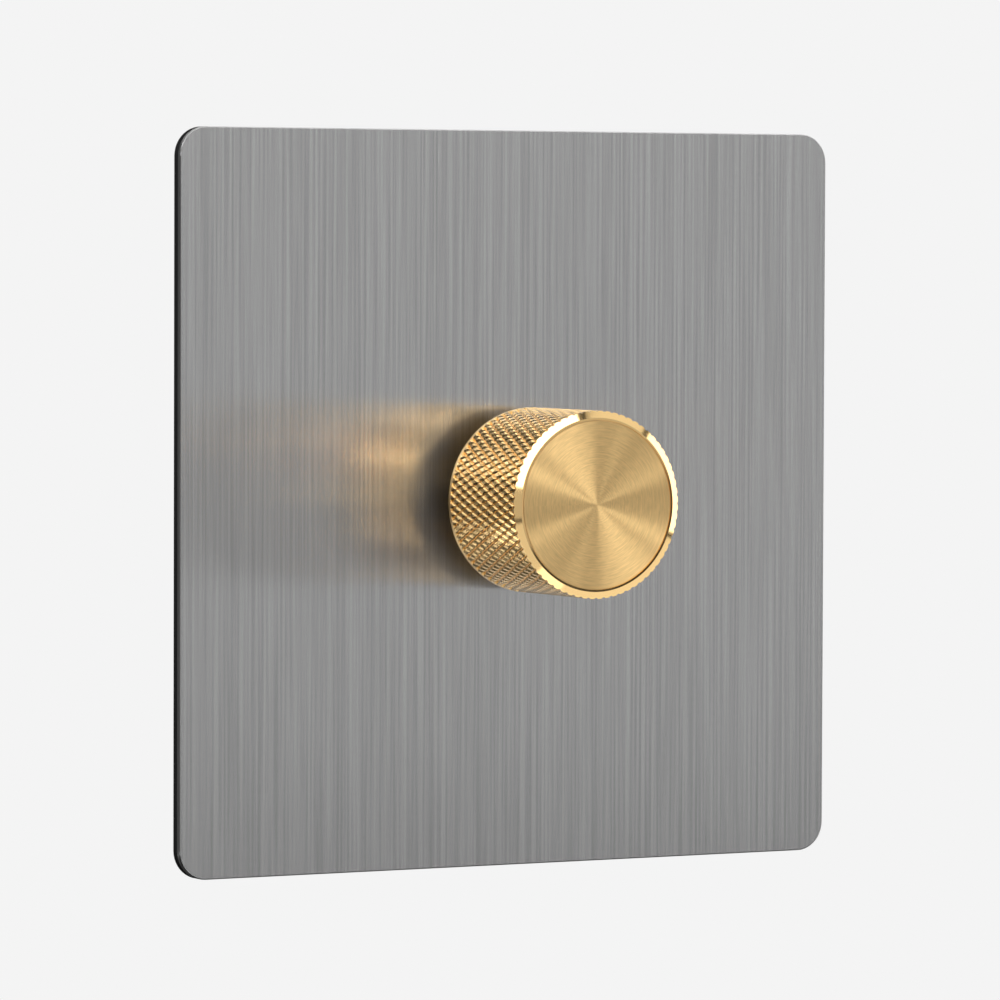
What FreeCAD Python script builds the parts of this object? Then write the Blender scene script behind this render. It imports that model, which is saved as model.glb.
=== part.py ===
import FreeCAD, Part

import math
import os

# A rotary dimmer for lighting, pressed to switch on and off, on a square screwless wall plate.
# Row frame in millimetres: X to the right as the user sees the plate, Z up, Y into the wall.
# The origin is the centre of the plate on the wall plane, so the user's side is at negative Y.

Vector = FreeCAD.Vector
ALONG_Y = Vector(0, 1, 0)

# ---- Plate: thin steel sheet on a black gasket frame --------------------------------------
PLATE_SIDE = 89.0
PLATE_CORNER_R = 3.5
SHEET_T = 0.6
SHEET_EDGE_BREAK = 0.12
SHEET_HOLE_R = 5.5
GASKET_T = 1.0
GASKET_OPENING = 79.0
GASKET_OPENING_R = 4.5
PRISE_NOTCH_WIDTH = 10.0
PRISE_NOTCH_DEPTH = 2.0
PRISE_NOTCH_T = 0.6
SHEET_BACK = -GASKET_T
SHEET_FRONT = SHEET_BACK - SHEET_T

# ---- Mounting yoke: pressed steel, dished into the wall box --------------------------------
YOKE_SIDE = 78.0
YOKE_CORNER_R = 4.0
YOKE_T = 0.7
YOKE_BACK = -0.1
YOKE_FRONT = YOKE_BACK - YOKE_T
DISH_WIDTH = 46.0
DISH_HEIGHT = 50.0
DISH_CORNER_R = 5.0
DISH_BACK = 3.4
DISH_DRAFT = 1.6
DISH_FLOOR = DISH_BACK - YOKE_T
BOX_SCREW_SPACING = 60.3
DIMPLE_SEAT_R = 3.45
DIMPLE_HOLE_R = 1.95
DIMPLE_BACK = 1.5
DIMPLE_RIM_R = 4.6
CLIP_X = 14.0
CLIP_Z = 31.0
CLIP_WIDTH = 5.0
CLIP_SLOT_WIDTH = 6.0
CLIP_SLOT_HEIGHT = 2.2
CLIP_FOOT_LENGTH = 5.0
CLIP_LEAF_T = 0.25
CLIP_BULGE = 0.7
CLIP_DEPTH = 3.4

# ---- Screws that hold the yoke to the wall box: M3.5 countersunk ---------------------------
BOX_SCREW_R = 1.75
BOX_SCREW_NECK_R = 1.55
BOX_SCREW_THREAD_START = 2.0
BOX_SCREW_HEAD_R = 3.35
BOX_SCREW_HEAD_TOP = -0.75
BOX_SCREW_END = 25.0
SCREW_TIP_BREAK = 0.5
CROSS_RECESS_WIDTH = 0.9
CROSS_RECESS_SPAN = 3.6
CROSS_RECESS_DEPTH = 1.1

# ---- Knob: turned brass, knurled sleeve, spun face -----------------------------------------
KNOB_GAP = 4.4
KNOB_LENGTH = 16.9
KNOB_R = 11.15
KNOB_FACE_R = 9.95
KNOB_RING_INNER_R = 10.05
KNOB_RING_DEPTH = 0.35
KNOB_FACE_RECESS = 0.12
KNOB_BACK_BREAK = 0.4
KNOB_RECESS_R = 6.0
KNOB_RECESS_DEPTH = 2.5
KNOB_BORE_R = 3.02
KNOB_BORE_END = -18.8
KNOB_BACK = SHEET_FRONT - KNOB_GAP
KNOB_FRONT = KNOB_BACK - KNOB_LENGTH
GRUB_R = 2.0
GRUB_LENGTH = 6.0
GRUB_Y = -13.0
GRUB_SOCKET_ACROSS_FLATS = 2.0
GRUB_SOCKET_DEPTH = 2.2
GRUB_ANGLE = -60.0

# ---- Control spindle and its bush -----------------------------------------------------------
PUSH_TRAVEL = 1.5
SHAFT_R = 3.0
SHAFT_FRONT = -18.4
SHAFT_BACK = 12.0
SHAFT_TIP_BREAK = 0.4
KNOB_FLAT_HEIGHT = 1.5
KNOB_FLAT_END = -7.5
DRIVE_FLAT_HEIGHT = 2.2
DRIVE_FLAT_START = 6.6
CLIP_GROOVE_R = 2.4
CLIP_GROOVE_WIDTH = 0.5
CLIP_GROOVE_Y = 6.05
RETAINING_RING_R = 4.2
BUSH_R = 5.0
BUSH_BORE_R = 3.03
BUSH_FRONT = -1.4
BUSH_TIP_BREAK = 0.5
NUT_ACROSS_FLATS = 13.0
NUT_T = 2.0
NUT_EDGE_BREAK = 0.4
WASHER_T = 0.5
WASHER_R = 7.2
WASHER_TEETH = 12
WASHER_NOTCH_R = 0.8

# ---- Dimmer module housing ------------------------------------------------------------------
MODULE_SIDE = 46.0
MODULE_CORNER_R = 2.5
MODULE_WALL = 1.5
COVER_T = 1.6
COVER_BACK = DISH_BACK + COVER_T
MODULE_BACK = 29.0
NOTCH_TOP = -11.5
NOTCH_FLOOR = 20.4
RIM_T = 1.0
RIM_DEPTH = 2.0
RIM_CLEARANCE = 0.1
PEG_X = 9.5
PEG_R = 1.5
PEG_LENGTH = 0.7
POST_PLACE = 18.4
POST_R = 2.9
POST_SPLIT = 9.0
POST_PILOT_R = 1.1
POST_CLEARANCE_R = 1.3
POST_HEAD_R = 2.2
POST_COUNTERBORE_R = 2.5
POST_COUNTERBORE_DEPTH = 3.0
POST_HEAD_T = 1.5
VENT_WIDTH = 1.5
VENT_PITCH = 3.2
VENT_COUNT = 5
VENT_LENGTH = 15.0
VENT_CENTRE = (-10.5, 10.0)
TOP_VENT_LENGTH = 12.0
TOP_VENT_CENTRE_Y = 20.5

# ---- Potentiometer and push switch ----------------------------------------------------------
CAN_R = 8.3
CAN_WALL = 0.5
FLANGE_T = 1.0
CAN_FRONT = COVER_BACK + FLANGE_T
CAN_BACK = 12.0
CAN_HOLE_R = 3.4
TRACK_T = 0.7
TRACK_R = 7.75
WIPER_FRONT = 8.5
WIPER_T = 1.4
WIPER_R = 7.4
DRIVE_CLEARANCE = 0.05
FINGER_GAP = 0.1
FINGER_INNER_R = 5.0
FINGER_WIDTH = 1.6
FINGER_LENGTH = 6.0
FINGER_T = 0.2
LEG_WIDTH = 1.0
LEG_T = 0.5
POT_LEG_PITCH = 5.0
POT_LEG_DROP = 9.5
SWITCH_SIDE = 15.0
SWITCH_WALL = 0.7
SWITCH_BACK_WALL = 0.6
PLUNGER_STEM_R = 2.8
PLUNGER_FLANGE_R = 4.0
PLUNGER_FLANGE_T = 0.9
PLUNGER_STUB_R = 1.5
PLUNGER_STUB_LENGTH = 0.6
BRIDGE_LENGTH = 12.4
BRIDGE_WIDTH = 3.0
BRIDGE_T = 0.3
CONTACT_X = 5.0
CONTACT_SIZE = 2.2
CONTACT_T = 0.45
CONTACT_GAP = 0.05
SPRING_R = 2.3
SPRING_WIRE_R = 0.175
SPRING_TURNS = 2.5
SPRING_SECTION_SIDES = 8

# ---- Circuit board and what is on it ----------------------------------------------------------
BOARD_SIDE = 41.0
BOARD_FRONT = 17.0
BOARD_T = 1.6
BOARD_BACK = BOARD_FRONT + BOARD_T
BOARD_POST_CLEARANCE_R = 3.4
FILM_CAP_SIZE = (13.0, 10.5, 6.0)
FILM_CAP_CENTRE = (-7.0, 13.0)
FILM_LEAD_PITCH = 10.0
LEAD_R = 0.3
RESERVOIR_R = 4.0
RESERVOIR_LENGTH = 10.8
RESERVOIR_CENTRE = (13.0, 12.5)
RESERVOIR_LEAD_PITCH = 3.5
RESERVOIR_GROOVE = 0.4
FUSE_R = 1.3
FUSE_LENGTH = 7.0
FUSE_X = -15.0
FUSE_Y = 15.2
FUSE_CENTRE_Z = -4.0
FUSE_LEAD_REACH = 2.0
CHIP_SIZE = (8.6, 1.4, 3.9)
CHIP_CENTRE = (-9.0, -6.0)
CHIP_STANDOFF = 0.15
CHIP_PIN_PITCH = 1.27
CHIP_PINS_A_SIDE = 6
CHIP_PIN_WIDTH = 0.4
CHIP_PIN_REACH = 1.0
CHIP_PIN_T = 0.25
CORE_OUTER_R = 7.6
CORE_INNER_R = 4.2
CORE_FRONT = 19.8
CORE_T = 5.6
CORE_CENTRE = (-11.0, 8.0)
WINDING_TURNS = 20
WINDING_WIRE = 0.8
WINDING_CLEARANCE = 0.1
SINK_X = (-0.5, 21.2)
SINK_Z = (-9.0, 15.2)
SINK_T = 1.5
SINK_BACK = MODULE_BACK - MODULE_WALL - 0.1
SINK_FRONT = SINK_BACK - SINK_T
PAD_T = 0.3
PAD_Z = (-3.0, 15.0)
TRANSISTOR_X = (4.8, 15.8)
TRANSISTOR_WIDTH = 10.0
TRANSISTOR_Z = (-2.0, 7.2, 13.5)
TAB_T = 1.3
TRANSISTOR_BODY_T = 3.0
TAB_HOLE_Z = 10.7
TAB_HOLE_R = 1.8
TRANSISTOR_LEAD_PITCH = 2.5
TRANSISTOR_LEAD_WIDTH = 0.8
TRANSISTOR_LEAD_T = 0.5
TRANSISTOR_LEAD_DROP = 3.0
TAB_SCREW_R = 1.5
TAB_SCREW_HEAD_R = 2.7
TAB_SCREW_HEAD_T = 1.5
TRIMMER_CENTRE = (-17.0, -6.0)
TRIMMER_SIDE = 6.0
TRIMMER_T = 4.0
TRIMMER_STEM_R = 1.0
TRIMMER_STEM_BORE_R = 1.05
TRIMMER_STEM_LENGTH = 2.5
TRIMMER_ROTOR_R = 2.0
TRIMMER_ROTOR_BACK = 28.6
TRIMMER_HOLE_R = 2.25
TRIMMER_SLOT_WIDTH = 0.7
TRIMMER_SLOT_DEPTH = 0.9

# ---- Terminals: brass pillars, wires enter from below, screws face the back of the box ------
TERMINAL_PITCH = 11.3
BLOCK_HALF_WIDTH = 17.6
BLOCK_BOTTOM = -22.9
BLOCK_TOP = -11.6
BLOCK_EDGE_BREAK = 0.8
BLOCK_REAR_WALL = 0.7
POCKET_CLEARANCE = 0.1
PILLAR_WIDTH = 7.0
PILLAR_HEIGHT = 8.0
PILLAR_DEPTH = 7.6
PILLAR_FRONT = 20.6
PILLAR_BOTTOM = -21.3
WIRE_BORE_R = 2.1
WIRE_BORE_DEPTH = 7.0
WIRE_BORE_FLOOR = 0.5
WIRE_FUNNEL_R = 2.5
TERMINAL_SCREW_R = 1.75
TERMINAL_SCREW_LENGTH = 3.8
TERMINAL_SCREW_HOLE_R = 2.3
TERMINAL_SLOT_WIDTH = 0.8
TERMINAL_SLOT_DEPTH = 1.0
TAIL_SIDE = 1.2
RIB_WIDTH = 1.2
RIB_DEPTH = 0.6
EARTH_CENTRE_X = 28.4
EARTH_BOTTOM = -20.0


# ---- Shape helpers ----------------------------------------------------------------------------
def rounded_wire(width, height, radius, y):
    """A rounded rectangle in the plane at y, centred on the Y axis."""
    a, b = width / 2 - radius, height / 2 - radius
    corners = [(a, b, 0), (-a, b, 90), (-a, -b, 180), (a, -b, 270)]
    arcs = []
    for x, z, start in corners:
        points = []
        for angle in (start, start + 45, start + 90):
            turn = math.radians(angle)
            points.append(Vector(x + radius * math.cos(turn), y, z + radius * math.sin(turn)))
        arcs.append(points)
    edges = []
    for i, points in enumerate(arcs):
        edges.append(Part.Arc(*points).toShape())
        edges.append(Part.LineSegment(points[2], arcs[(i + 1) % 4][0]).toShape())
    return Part.Wire(edges)


def slab(width, height, radius, y0, y1):
    """A rounded rectangular slab from y0 to y1, centred on the Y axis."""
    return Part.Face(rounded_wire(width, height, radius, y0)).extrude(Vector(0, y1 - y0, 0))


def block(x, y, z):
    """A box from its (low, high) ranges."""
    low = Vector(x[0], y[0], z[0])
    return Part.makeBox(x[1] - x[0], y[1] - y[0], z[1] - z[0], low)


def rod(radius, y0, y1, centre=(0.0, 0.0)):
    """A round bar along Y, with its axis at centre = (x, z)."""
    return Part.makeCylinder(radius, y1 - y0, Vector(centre[0], y0, centre[1]), ALONG_Y)


def upright(radius, z0, z1, x, y):
    """A round bar along Z."""
    return Part.makeCylinder(radius, z1 - z0, Vector(x, y, z0), Vector(0, 0, 1))


def turned(profile, centre=(0.0, 0.0)):
    """A solid of revolution about an axis along Y, from (radius, y) points."""
    points = [Vector(r, y, 0) for r, y in profile]
    face = Part.Face(Part.makePolygon(points + points[:1]))
    solid = face.revolve(Vector(0, 0, 0), ALONG_Y, 360)
    solid.translate(Vector(centre[0], 0, centre[1]))
    return solid


def hex_bar(across_flats, y0, y1):
    """A hexagonal bar along Y."""
    corner = across_flats / math.sqrt(3)
    points = [
        Vector(corner * math.cos(math.radians(60 * i)), y0, corner * math.sin(math.radians(60 * i)))
        for i in range(7)
    ]
    return Part.Face(Part.makePolygon(points)).extrude(Vector(0, y1 - y0, 0))


def joined(shapes):
    """One fused solid with its seams removed."""
    first, *rest = shapes
    return first.multiFuse(rest).removeSplitter() if rest else first


def without(shape, tools):
    """shape with every tool cut away."""
    return shape.cut(list(tools))


def clip_places():
    """The four (x, z) places where the plate's clips snap through the yoke."""
    return [(sx * CLIP_X, sz * CLIP_Z) for sx in (-1, 1) for sz in (-1, 1)]


def flat_cutter(height, y0, y1, angle):
    """Cuts a flat at height from the axis, on the side that faces angle about Y from +X towards +Z."""
    cutter = block((height, 2 * SHAFT_R), (y0, y1), (-SHAFT_R, SHAFT_R))
    cutter.rotate(Vector(0, 0, 0), ALONG_Y, -angle)
    return cutter


# ---- Plate --------------------------------------------------------------------------------------
def face_plate():
    sheet = slab(PLATE_SIDE, PLATE_SIDE, PLATE_CORNER_R, SHEET_FRONT, SHEET_BACK)
    front_edges = [
        e for e in sheet.Edges if abs(e.BoundBox.YMax - SHEET_FRONT) < 1e-6
    ]
    sheet = sheet.makeChamfer(SHEET_EDGE_BREAK, front_edges)
    return without(sheet, [rod(SHEET_HOLE_R, SHEET_FRONT, SHEET_BACK)])


def plate_gasket():
    frame = slab(PLATE_SIDE, PLATE_SIDE, PLATE_CORNER_R, SHEET_BACK, 0)
    opening = slab(GASKET_OPENING, GASKET_OPENING, GASKET_OPENING_R, SHEET_BACK, 0)
    half = PRISE_NOTCH_WIDTH / 2
    bottom = -PLATE_SIDE / 2
    notch = block((-half, half), (-PRISE_NOTCH_T, 0), (bottom, bottom + PRISE_NOTCH_DEPTH))
    return without(frame, [opening, notch])


def plate_clip(x, z):
    """A folded spring leaf: its foot is bonded behind the sheet, and its leg snaps through the yoke."""
    side = 1 if z > 0 else -1
    outline = [
        (0, SHEET_BACK),
        (-CLIP_FOOT_LENGTH, SHEET_BACK),
        (-CLIP_FOOT_LENGTH, YOKE_FRONT),
        (-CLIP_LEAF_T, YOKE_FRONT),
        (-CLIP_LEAF_T, CLIP_LEAF_T),
        (CLIP_BULGE - CLIP_LEAF_T, CLIP_DEPTH / 3),
        (-2 * CLIP_LEAF_T, CLIP_DEPTH),
        (-CLIP_LEAF_T, CLIP_DEPTH),
        (CLIP_BULGE, CLIP_DEPTH / 3),
        (0, CLIP_LEAF_T / 2),
    ]
    points = [Vector(x - CLIP_WIDTH / 2, y, z + side * dz) for dz, y in outline]
    face = Part.Face(Part.makePolygon(points + points[:1]))
    return face.extrude(Vector(CLIP_WIDTH, 0, 0))


def plate_clips():
    return Part.makeCompound([plate_clip(x, z) for x, z in clip_places()])


# ---- Yoke ---------------------------------------------------------------------------------------
def dish(shrink, y_back):
    """The tapered dish, taken in all round by shrink, from the yoke's front down to y_back."""
    mouth = rounded_wire(
        DISH_WIDTH + 2 * DISH_DRAFT - 2 * shrink,
        DISH_HEIGHT + 2 * DISH_DRAFT - 2 * shrink,
        DISH_CORNER_R + DISH_DRAFT - shrink,
        YOKE_FRONT,
    )
    floor = rounded_wire(
        DISH_WIDTH - 2 * shrink, DISH_HEIGHT - 2 * shrink, DISH_CORNER_R - shrink, y_back
    )
    return Part.makeLoft([mouth, floor], True)


def screw_dimple(x):
    """A countersunk dimple in the yoke's flange for a box screw."""
    cone = DIMPLE_SEAT_R - DIMPLE_HOLE_R
    tube_r = DIMPLE_HOLE_R + YOKE_T
    profile = [
        (DIMPLE_SEAT_R, YOKE_FRONT),
        (DIMPLE_HOLE_R, YOKE_FRONT + cone),
        (DIMPLE_HOLE_R, DIMPLE_BACK),
        (tube_r, DIMPLE_BACK),
        (tube_r + DIMPLE_BACK - YOKE_BACK, YOKE_BACK),
        (DIMPLE_RIM_R, YOKE_BACK),
        (DIMPLE_RIM_R, YOKE_FRONT),
    ]
    return turned(profile, (x, 0))


def clip_slot(x, z):
    """The slot that a plate clip's leg snaps through."""
    half = CLIP_SLOT_WIDTH / 2
    centre = z + math.copysign(CLIP_SLOT_HEIGHT / 4, z)
    reach = CLIP_SLOT_HEIGHT / 2
    return block((x - half, x + half), (YOKE_FRONT, YOKE_BACK), (centre - reach, centre + reach))


def mounting_yoke():
    flange = slab(YOKE_SIDE, YOKE_SIDE, YOKE_CORNER_R, YOKE_FRONT, YOKE_BACK)
    outer = dish(0, DISH_BACK)
    hollow = dish(YOKE_T, DISH_FLOOR)
    screw_places = (-BOX_SCREW_SPACING / 2, BOX_SCREW_SPACING / 2)
    seats = [rod(DIMPLE_RIM_R, YOKE_FRONT, YOKE_BACK, (x, 0)) for x in screw_places]
    slots = [clip_slot(x, z) for x, z in clip_places()]
    flange = without(flange, seats + slots)
    pressed = joined([flange, outer] + [screw_dimple(x) for x in screw_places])
    bush_hole = rod(BUSH_R + DRIVE_CLEARANCE, DISH_FLOOR, DISH_BACK)
    peg_hole = rod(PEG_R + DRIVE_CLEARANCE, DISH_FLOOR, DISH_BACK, (PEG_X, 0))
    return without(pressed, [hollow, bush_hole, peg_hole])


def box_screw(x):
    cone = BOX_SCREW_HEAD_R - BOX_SCREW_NECK_R
    profile = [
        (0, BOX_SCREW_HEAD_TOP),
        (BOX_SCREW_HEAD_R, BOX_SCREW_HEAD_TOP),
        (BOX_SCREW_NECK_R, BOX_SCREW_HEAD_TOP + cone),
        (BOX_SCREW_NECK_R, BOX_SCREW_THREAD_START),
        (BOX_SCREW_R, BOX_SCREW_THREAD_START),
        (BOX_SCREW_R, BOX_SCREW_END - SCREW_TIP_BREAK),
        (BOX_SCREW_R - SCREW_TIP_BREAK, BOX_SCREW_END),
        (0, BOX_SCREW_END),
    ]
    half, span = CROSS_RECESS_WIDTH / 2, CROSS_RECESS_SPAN / 2
    depth = (BOX_SCREW_HEAD_TOP, BOX_SCREW_HEAD_TOP + CROSS_RECESS_DEPTH)
    cross = [
        block((x - half, x + half), depth, (-span, span)),
        block((x - span, x + span), depth, (-half, half)),
    ]
    return without(turned(profile, (x, 0)), cross)


def box_screws():
    half = BOX_SCREW_SPACING / 2
    return Part.makeCompound([box_screw(-half), box_screw(half)])


# ---- Knob ---------------------------------------------------------------------------------------
def radial_rod(radius, start, end, y, angle):
    """A round bar that points away from the Y axis, at angle from +X towards +Z."""
    turn = math.radians(angle)
    out = Vector(math.cos(turn), 0, math.sin(turn))
    return Part.makeCylinder(radius, end - start, out * start + Vector(0, y, 0), out)


def knob_body():
    face = KNOB_FRONT + KNOB_FACE_RECESS
    recess = KNOB_BACK - KNOB_RECESS_DEPTH
    profile = [
        (0, face),
        (KNOB_FACE_R, face),
        (KNOB_RING_INNER_R, KNOB_FRONT),
        (KNOB_R, KNOB_FRONT + KNOB_RING_DEPTH),
        (KNOB_R, KNOB_BACK - KNOB_BACK_BREAK),
        (KNOB_R - KNOB_BACK_BREAK, KNOB_BACK),
        (KNOB_RECESS_R, KNOB_BACK),
        (KNOB_RECESS_R, recess),
        (KNOB_BORE_R, recess),
        (KNOB_BORE_R, KNOB_BORE_END),
        (0, KNOB_BORE_END),
    ]
    hole = radial_rod(GRUB_R, KNOB_FLAT_HEIGHT, 2 * KNOB_R, GRUB_Y, GRUB_ANGLE)
    return without(turned(profile), [hole])


def grub_screw():
    end = KNOB_FLAT_HEIGHT + GRUB_LENGTH
    screw = radial_rod(GRUB_R, KNOB_FLAT_HEIGHT, end, GRUB_Y, GRUB_ANGLE)
    socket = hex_bar(GRUB_SOCKET_ACROSS_FLATS, 0, GRUB_SOCKET_DEPTH)
    socket.translate(Vector(0, end - GRUB_SOCKET_DEPTH, 0))
    socket.rotate(Vector(0, 0, 0), Vector(0, 0, 1), -90)
    socket.rotate(Vector(0, 0, 0), ALONG_Y, -GRUB_ANGLE)
    socket.translate(Vector(0, GRUB_Y, 0))
    return without(screw, [socket])


# ---- Spindle, bush and their fasteners ------------------------------------------------------------
def control_shaft():
    groove_end = CLIP_GROOVE_Y + CLIP_GROOVE_WIDTH
    profile = [
        (0, SHAFT_FRONT),
        (SHAFT_R - SHAFT_TIP_BREAK, SHAFT_FRONT),
        (SHAFT_R, SHAFT_FRONT + SHAFT_TIP_BREAK),
        (SHAFT_R, CLIP_GROOVE_Y),
        (CLIP_GROOVE_R, CLIP_GROOVE_Y),
        (CLIP_GROOVE_R, groove_end),
        (SHAFT_R, groove_end),
        (SHAFT_R, SHAFT_BACK - SHAFT_TIP_BREAK),
        (SHAFT_R - SHAFT_TIP_BREAK, SHAFT_BACK),
        (0, SHAFT_BACK),
    ]
    knob_flat = flat_cutter(KNOB_FLAT_HEIGHT, SHAFT_FRONT, KNOB_FLAT_END, GRUB_ANGLE)
    drive_flat = flat_cutter(DRIVE_FLAT_HEIGHT, DRIVE_FLAT_START, SHAFT_BACK, GRUB_ANGLE)
    return without(turned(profile), [knob_flat, drive_flat])


def retaining_ring():
    y0, y1 = CLIP_GROOVE_Y, CLIP_GROOVE_Y + CLIP_GROOVE_WIDTH
    ring = rod(RETAINING_RING_R, y0, y1)
    mouth = block((0, RETAINING_RING_R), (y0, y1), (-CLIP_GROOVE_R / 2, CLIP_GROOVE_R / 2))
    return without(ring, [rod(CLIP_GROOVE_R, y0, y1), mouth])


def control_bush():
    profile = [
        (BUSH_BORE_R, BUSH_FRONT),
        (BUSH_R - BUSH_TIP_BREAK, BUSH_FRONT),
        (BUSH_R, BUSH_FRONT + BUSH_TIP_BREAK),
        (BUSH_R, COVER_BACK),
        (CAN_R, COVER_BACK),
        (CAN_R, CAN_FRONT),
        (BUSH_BORE_R, CAN_FRONT),
    ]
    return turned(profile)


def bush_nut():
    back = DISH_FLOOR - WASHER_T
    front = back - NUT_T
    corner = NUT_ACROSS_FLATS / math.sqrt(3)
    rounded = turned(
        [
            (0, front),
            (corner - 2 * NUT_EDGE_BREAK, front),
            (corner, front + NUT_EDGE_BREAK),
            (corner, back),
            (0, back),
        ]
    )
    nut = hex_bar(NUT_ACROSS_FLATS, front, back).common(rounded)
    return without(nut, [rod(BUSH_R + DRIVE_CLEARANCE, front, back)])


def lock_washer():
    y0, y1 = DISH_FLOOR - WASHER_T, DISH_FLOOR
    notches = []
    for i in range(WASHER_TEETH):
        turn = 2 * math.pi * i / WASHER_TEETH
        place = (WASHER_R * math.cos(turn), WASHER_R * math.sin(turn))
        notches.append(rod(WASHER_NOTCH_R, y0, y1, place))
    hole = rod(BUSH_R + DRIVE_CLEARANCE, y0, y1)
    return without(rod(WASHER_R, y0, y1), [hole] + notches)


# ---- Module housing ---------------------------------------------------------------------------------
def post_places():
    """The two (x, z) places of the screws that join the halves of the housing."""
    return [(-POST_PLACE, POST_PLACE), (POST_PLACE, POST_PLACE)]


def housing_front():
    cover = slab(MODULE_SIDE, MODULE_SIDE, MODULE_CORNER_R, DISH_BACK, COVER_BACK)
    inside = MODULE_SIDE - 2 * MODULE_WALL - 2 * RIM_CLEARANCE
    rim = slab(inside, inside, RIM_T, COVER_BACK, COVER_BACK + RIM_DEPTH)
    rim_hollow = slab(
        inside - 2 * RIM_T, inside - 2 * RIM_T, RIM_T / 2, COVER_BACK, COVER_BACK + RIM_DEPTH
    )
    peg = rod(PEG_R, DISH_BACK - PEG_LENGTH, DISH_BACK, (PEG_X, 0))
    posts = [rod(POST_R, COVER_BACK, POST_SPLIT, place) for place in post_places()]
    pilots = [rod(POST_PILOT_R, COVER_BACK, POST_SPLIT, place) for place in post_places()]
    bush_hole = rod(BUSH_R + DRIVE_CLEARANCE, DISH_BACK, COVER_BACK)
    whole = joined([cover, rim.cut(rim_hollow), peg] + posts)
    return without(whole, pilots + [bush_hole])


def rear_vents():
    """A bank of slots through the rear wall."""
    x, z = VENT_CENTRE
    half = VENT_LENGTH / 2
    slots = []
    for i in range(VENT_COUNT):
        middle = z + (i - (VENT_COUNT - 1) / 2) * VENT_PITCH
        height = (middle - VENT_WIDTH / 2, middle + VENT_WIDTH / 2)
        slots.append(block((x - half, x + half), (MODULE_BACK - MODULE_WALL, MODULE_BACK), height))
    return slots


def top_vents():
    """A bank of slots through the top wall, between the two screw posts."""
    top = MODULE_SIDE / 2
    half = TOP_VENT_LENGTH / 2
    slots = []
    for i in range(VENT_COUNT):
        middle = (i - (VENT_COUNT - 1) / 2) * VENT_PITCH
        across = (middle - VENT_WIDTH / 2, middle + VENT_WIDTH / 2)
        along = (TOP_VENT_CENTRE_Y - half, TOP_VENT_CENTRE_Y + half)
        slots.append(block(across, along, (top - MODULE_WALL, top)))
    return slots


def housing_rear():
    reach = MODULE_SIDE
    outside = slab(MODULE_SIDE, MODULE_SIDE, MODULE_CORNER_R, COVER_BACK, MODULE_BACK)
    notch = block((-reach, reach), (NOTCH_FLOOR, MODULE_BACK), (-reach, NOTCH_TOP))
    inner_side = MODULE_SIDE - 2 * MODULE_WALL
    inner_r = MODULE_CORNER_R - MODULE_WALL
    hollow = slab(inner_side, inner_side, inner_r, COVER_BACK, MODULE_BACK - MODULE_WALL)
    notch_walls = block(
        (-reach, reach),
        (NOTCH_FLOOR - MODULE_WALL, MODULE_BACK),
        (-reach, NOTCH_TOP + MODULE_WALL),
    )
    case = outside.cut(notch).cut(hollow.cut(notch_walls))
    room = slab(inner_side, inner_side, inner_r, POST_SPLIT, MODULE_BACK)
    posts = [rod(POST_R, POST_SPLIT, MODULE_BACK, place).common(room) for place in post_places()]
    cuts = [rod(POST_CLEARANCE_R, POST_SPLIT, MODULE_BACK, place) for place in post_places()]
    sink = MODULE_BACK - POST_COUNTERBORE_DEPTH
    cuts += [rod(POST_COUNTERBORE_R, sink, MODULE_BACK, place) for place in post_places()]
    cuts += rear_vents() + top_vents()
    cuts.append(rod(TRIMMER_HOLE_R, MODULE_BACK - MODULE_WALL, MODULE_BACK, TRIMMER_CENTRE))
    cuts += [tail(x) for x in terminal_places()]
    return without(joined([case] + posts), cuts)


def housing_screws():
    seat = MODULE_BACK - POST_COUNTERBORE_DEPTH
    screws = []
    for place in post_places():
        profile = [
            (0, COVER_BACK + MODULE_WALL),
            (POST_PILOT_R, COVER_BACK + MODULE_WALL + POST_PILOT_R),
            (POST_PILOT_R, seat),
            (POST_HEAD_R, seat),
            (POST_HEAD_R, seat + POST_HEAD_T / 2),
            (POST_HEAD_R / 2, seat + POST_HEAD_T),
            (0, seat + POST_HEAD_T),
        ]
        half, span = TERMINAL_SLOT_WIDTH / 2, POST_HEAD_R / 2 + TERMINAL_SLOT_WIDTH / 2
        depth = (seat + POST_HEAD_T / 3, seat + POST_HEAD_T)
        x, z = place
        cross = [
            block((x - half, x + half), depth, (z - span, z + span)),
            block((x - span, x + span), depth, (z - half, z + half)),
        ]
        screws.append(without(turned(profile, place), cross))
    return Part.makeCompound(screws)


# ---- Potentiometer ------------------------------------------------------------------------------------
def pot_housing():
    can = rod(CAN_R, CAN_FRONT, CAN_BACK)
    hollow = rod(CAN_R - CAN_WALL, CAN_FRONT, CAN_BACK - CAN_WALL)
    hole = rod(CAN_HOLE_R, CAN_BACK - CAN_WALL, CAN_BACK)
    window = block(
        (-POT_LEG_PITCH - LEG_WIDTH, POT_LEG_PITCH + LEG_WIDTH),
        (CAN_BACK - CAN_WALL - TRACK_T, CAN_BACK - CAN_WALL),
        (-CAN_R, -CAN_R / 2),
    )
    return without(can, [hollow, hole, window])


def pot_track():
    back = CAN_BACK - CAN_WALL
    return without(rod(TRACK_R, back - TRACK_T, back), [rod(CAN_HOLE_R, back - TRACK_T, back)])


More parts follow.
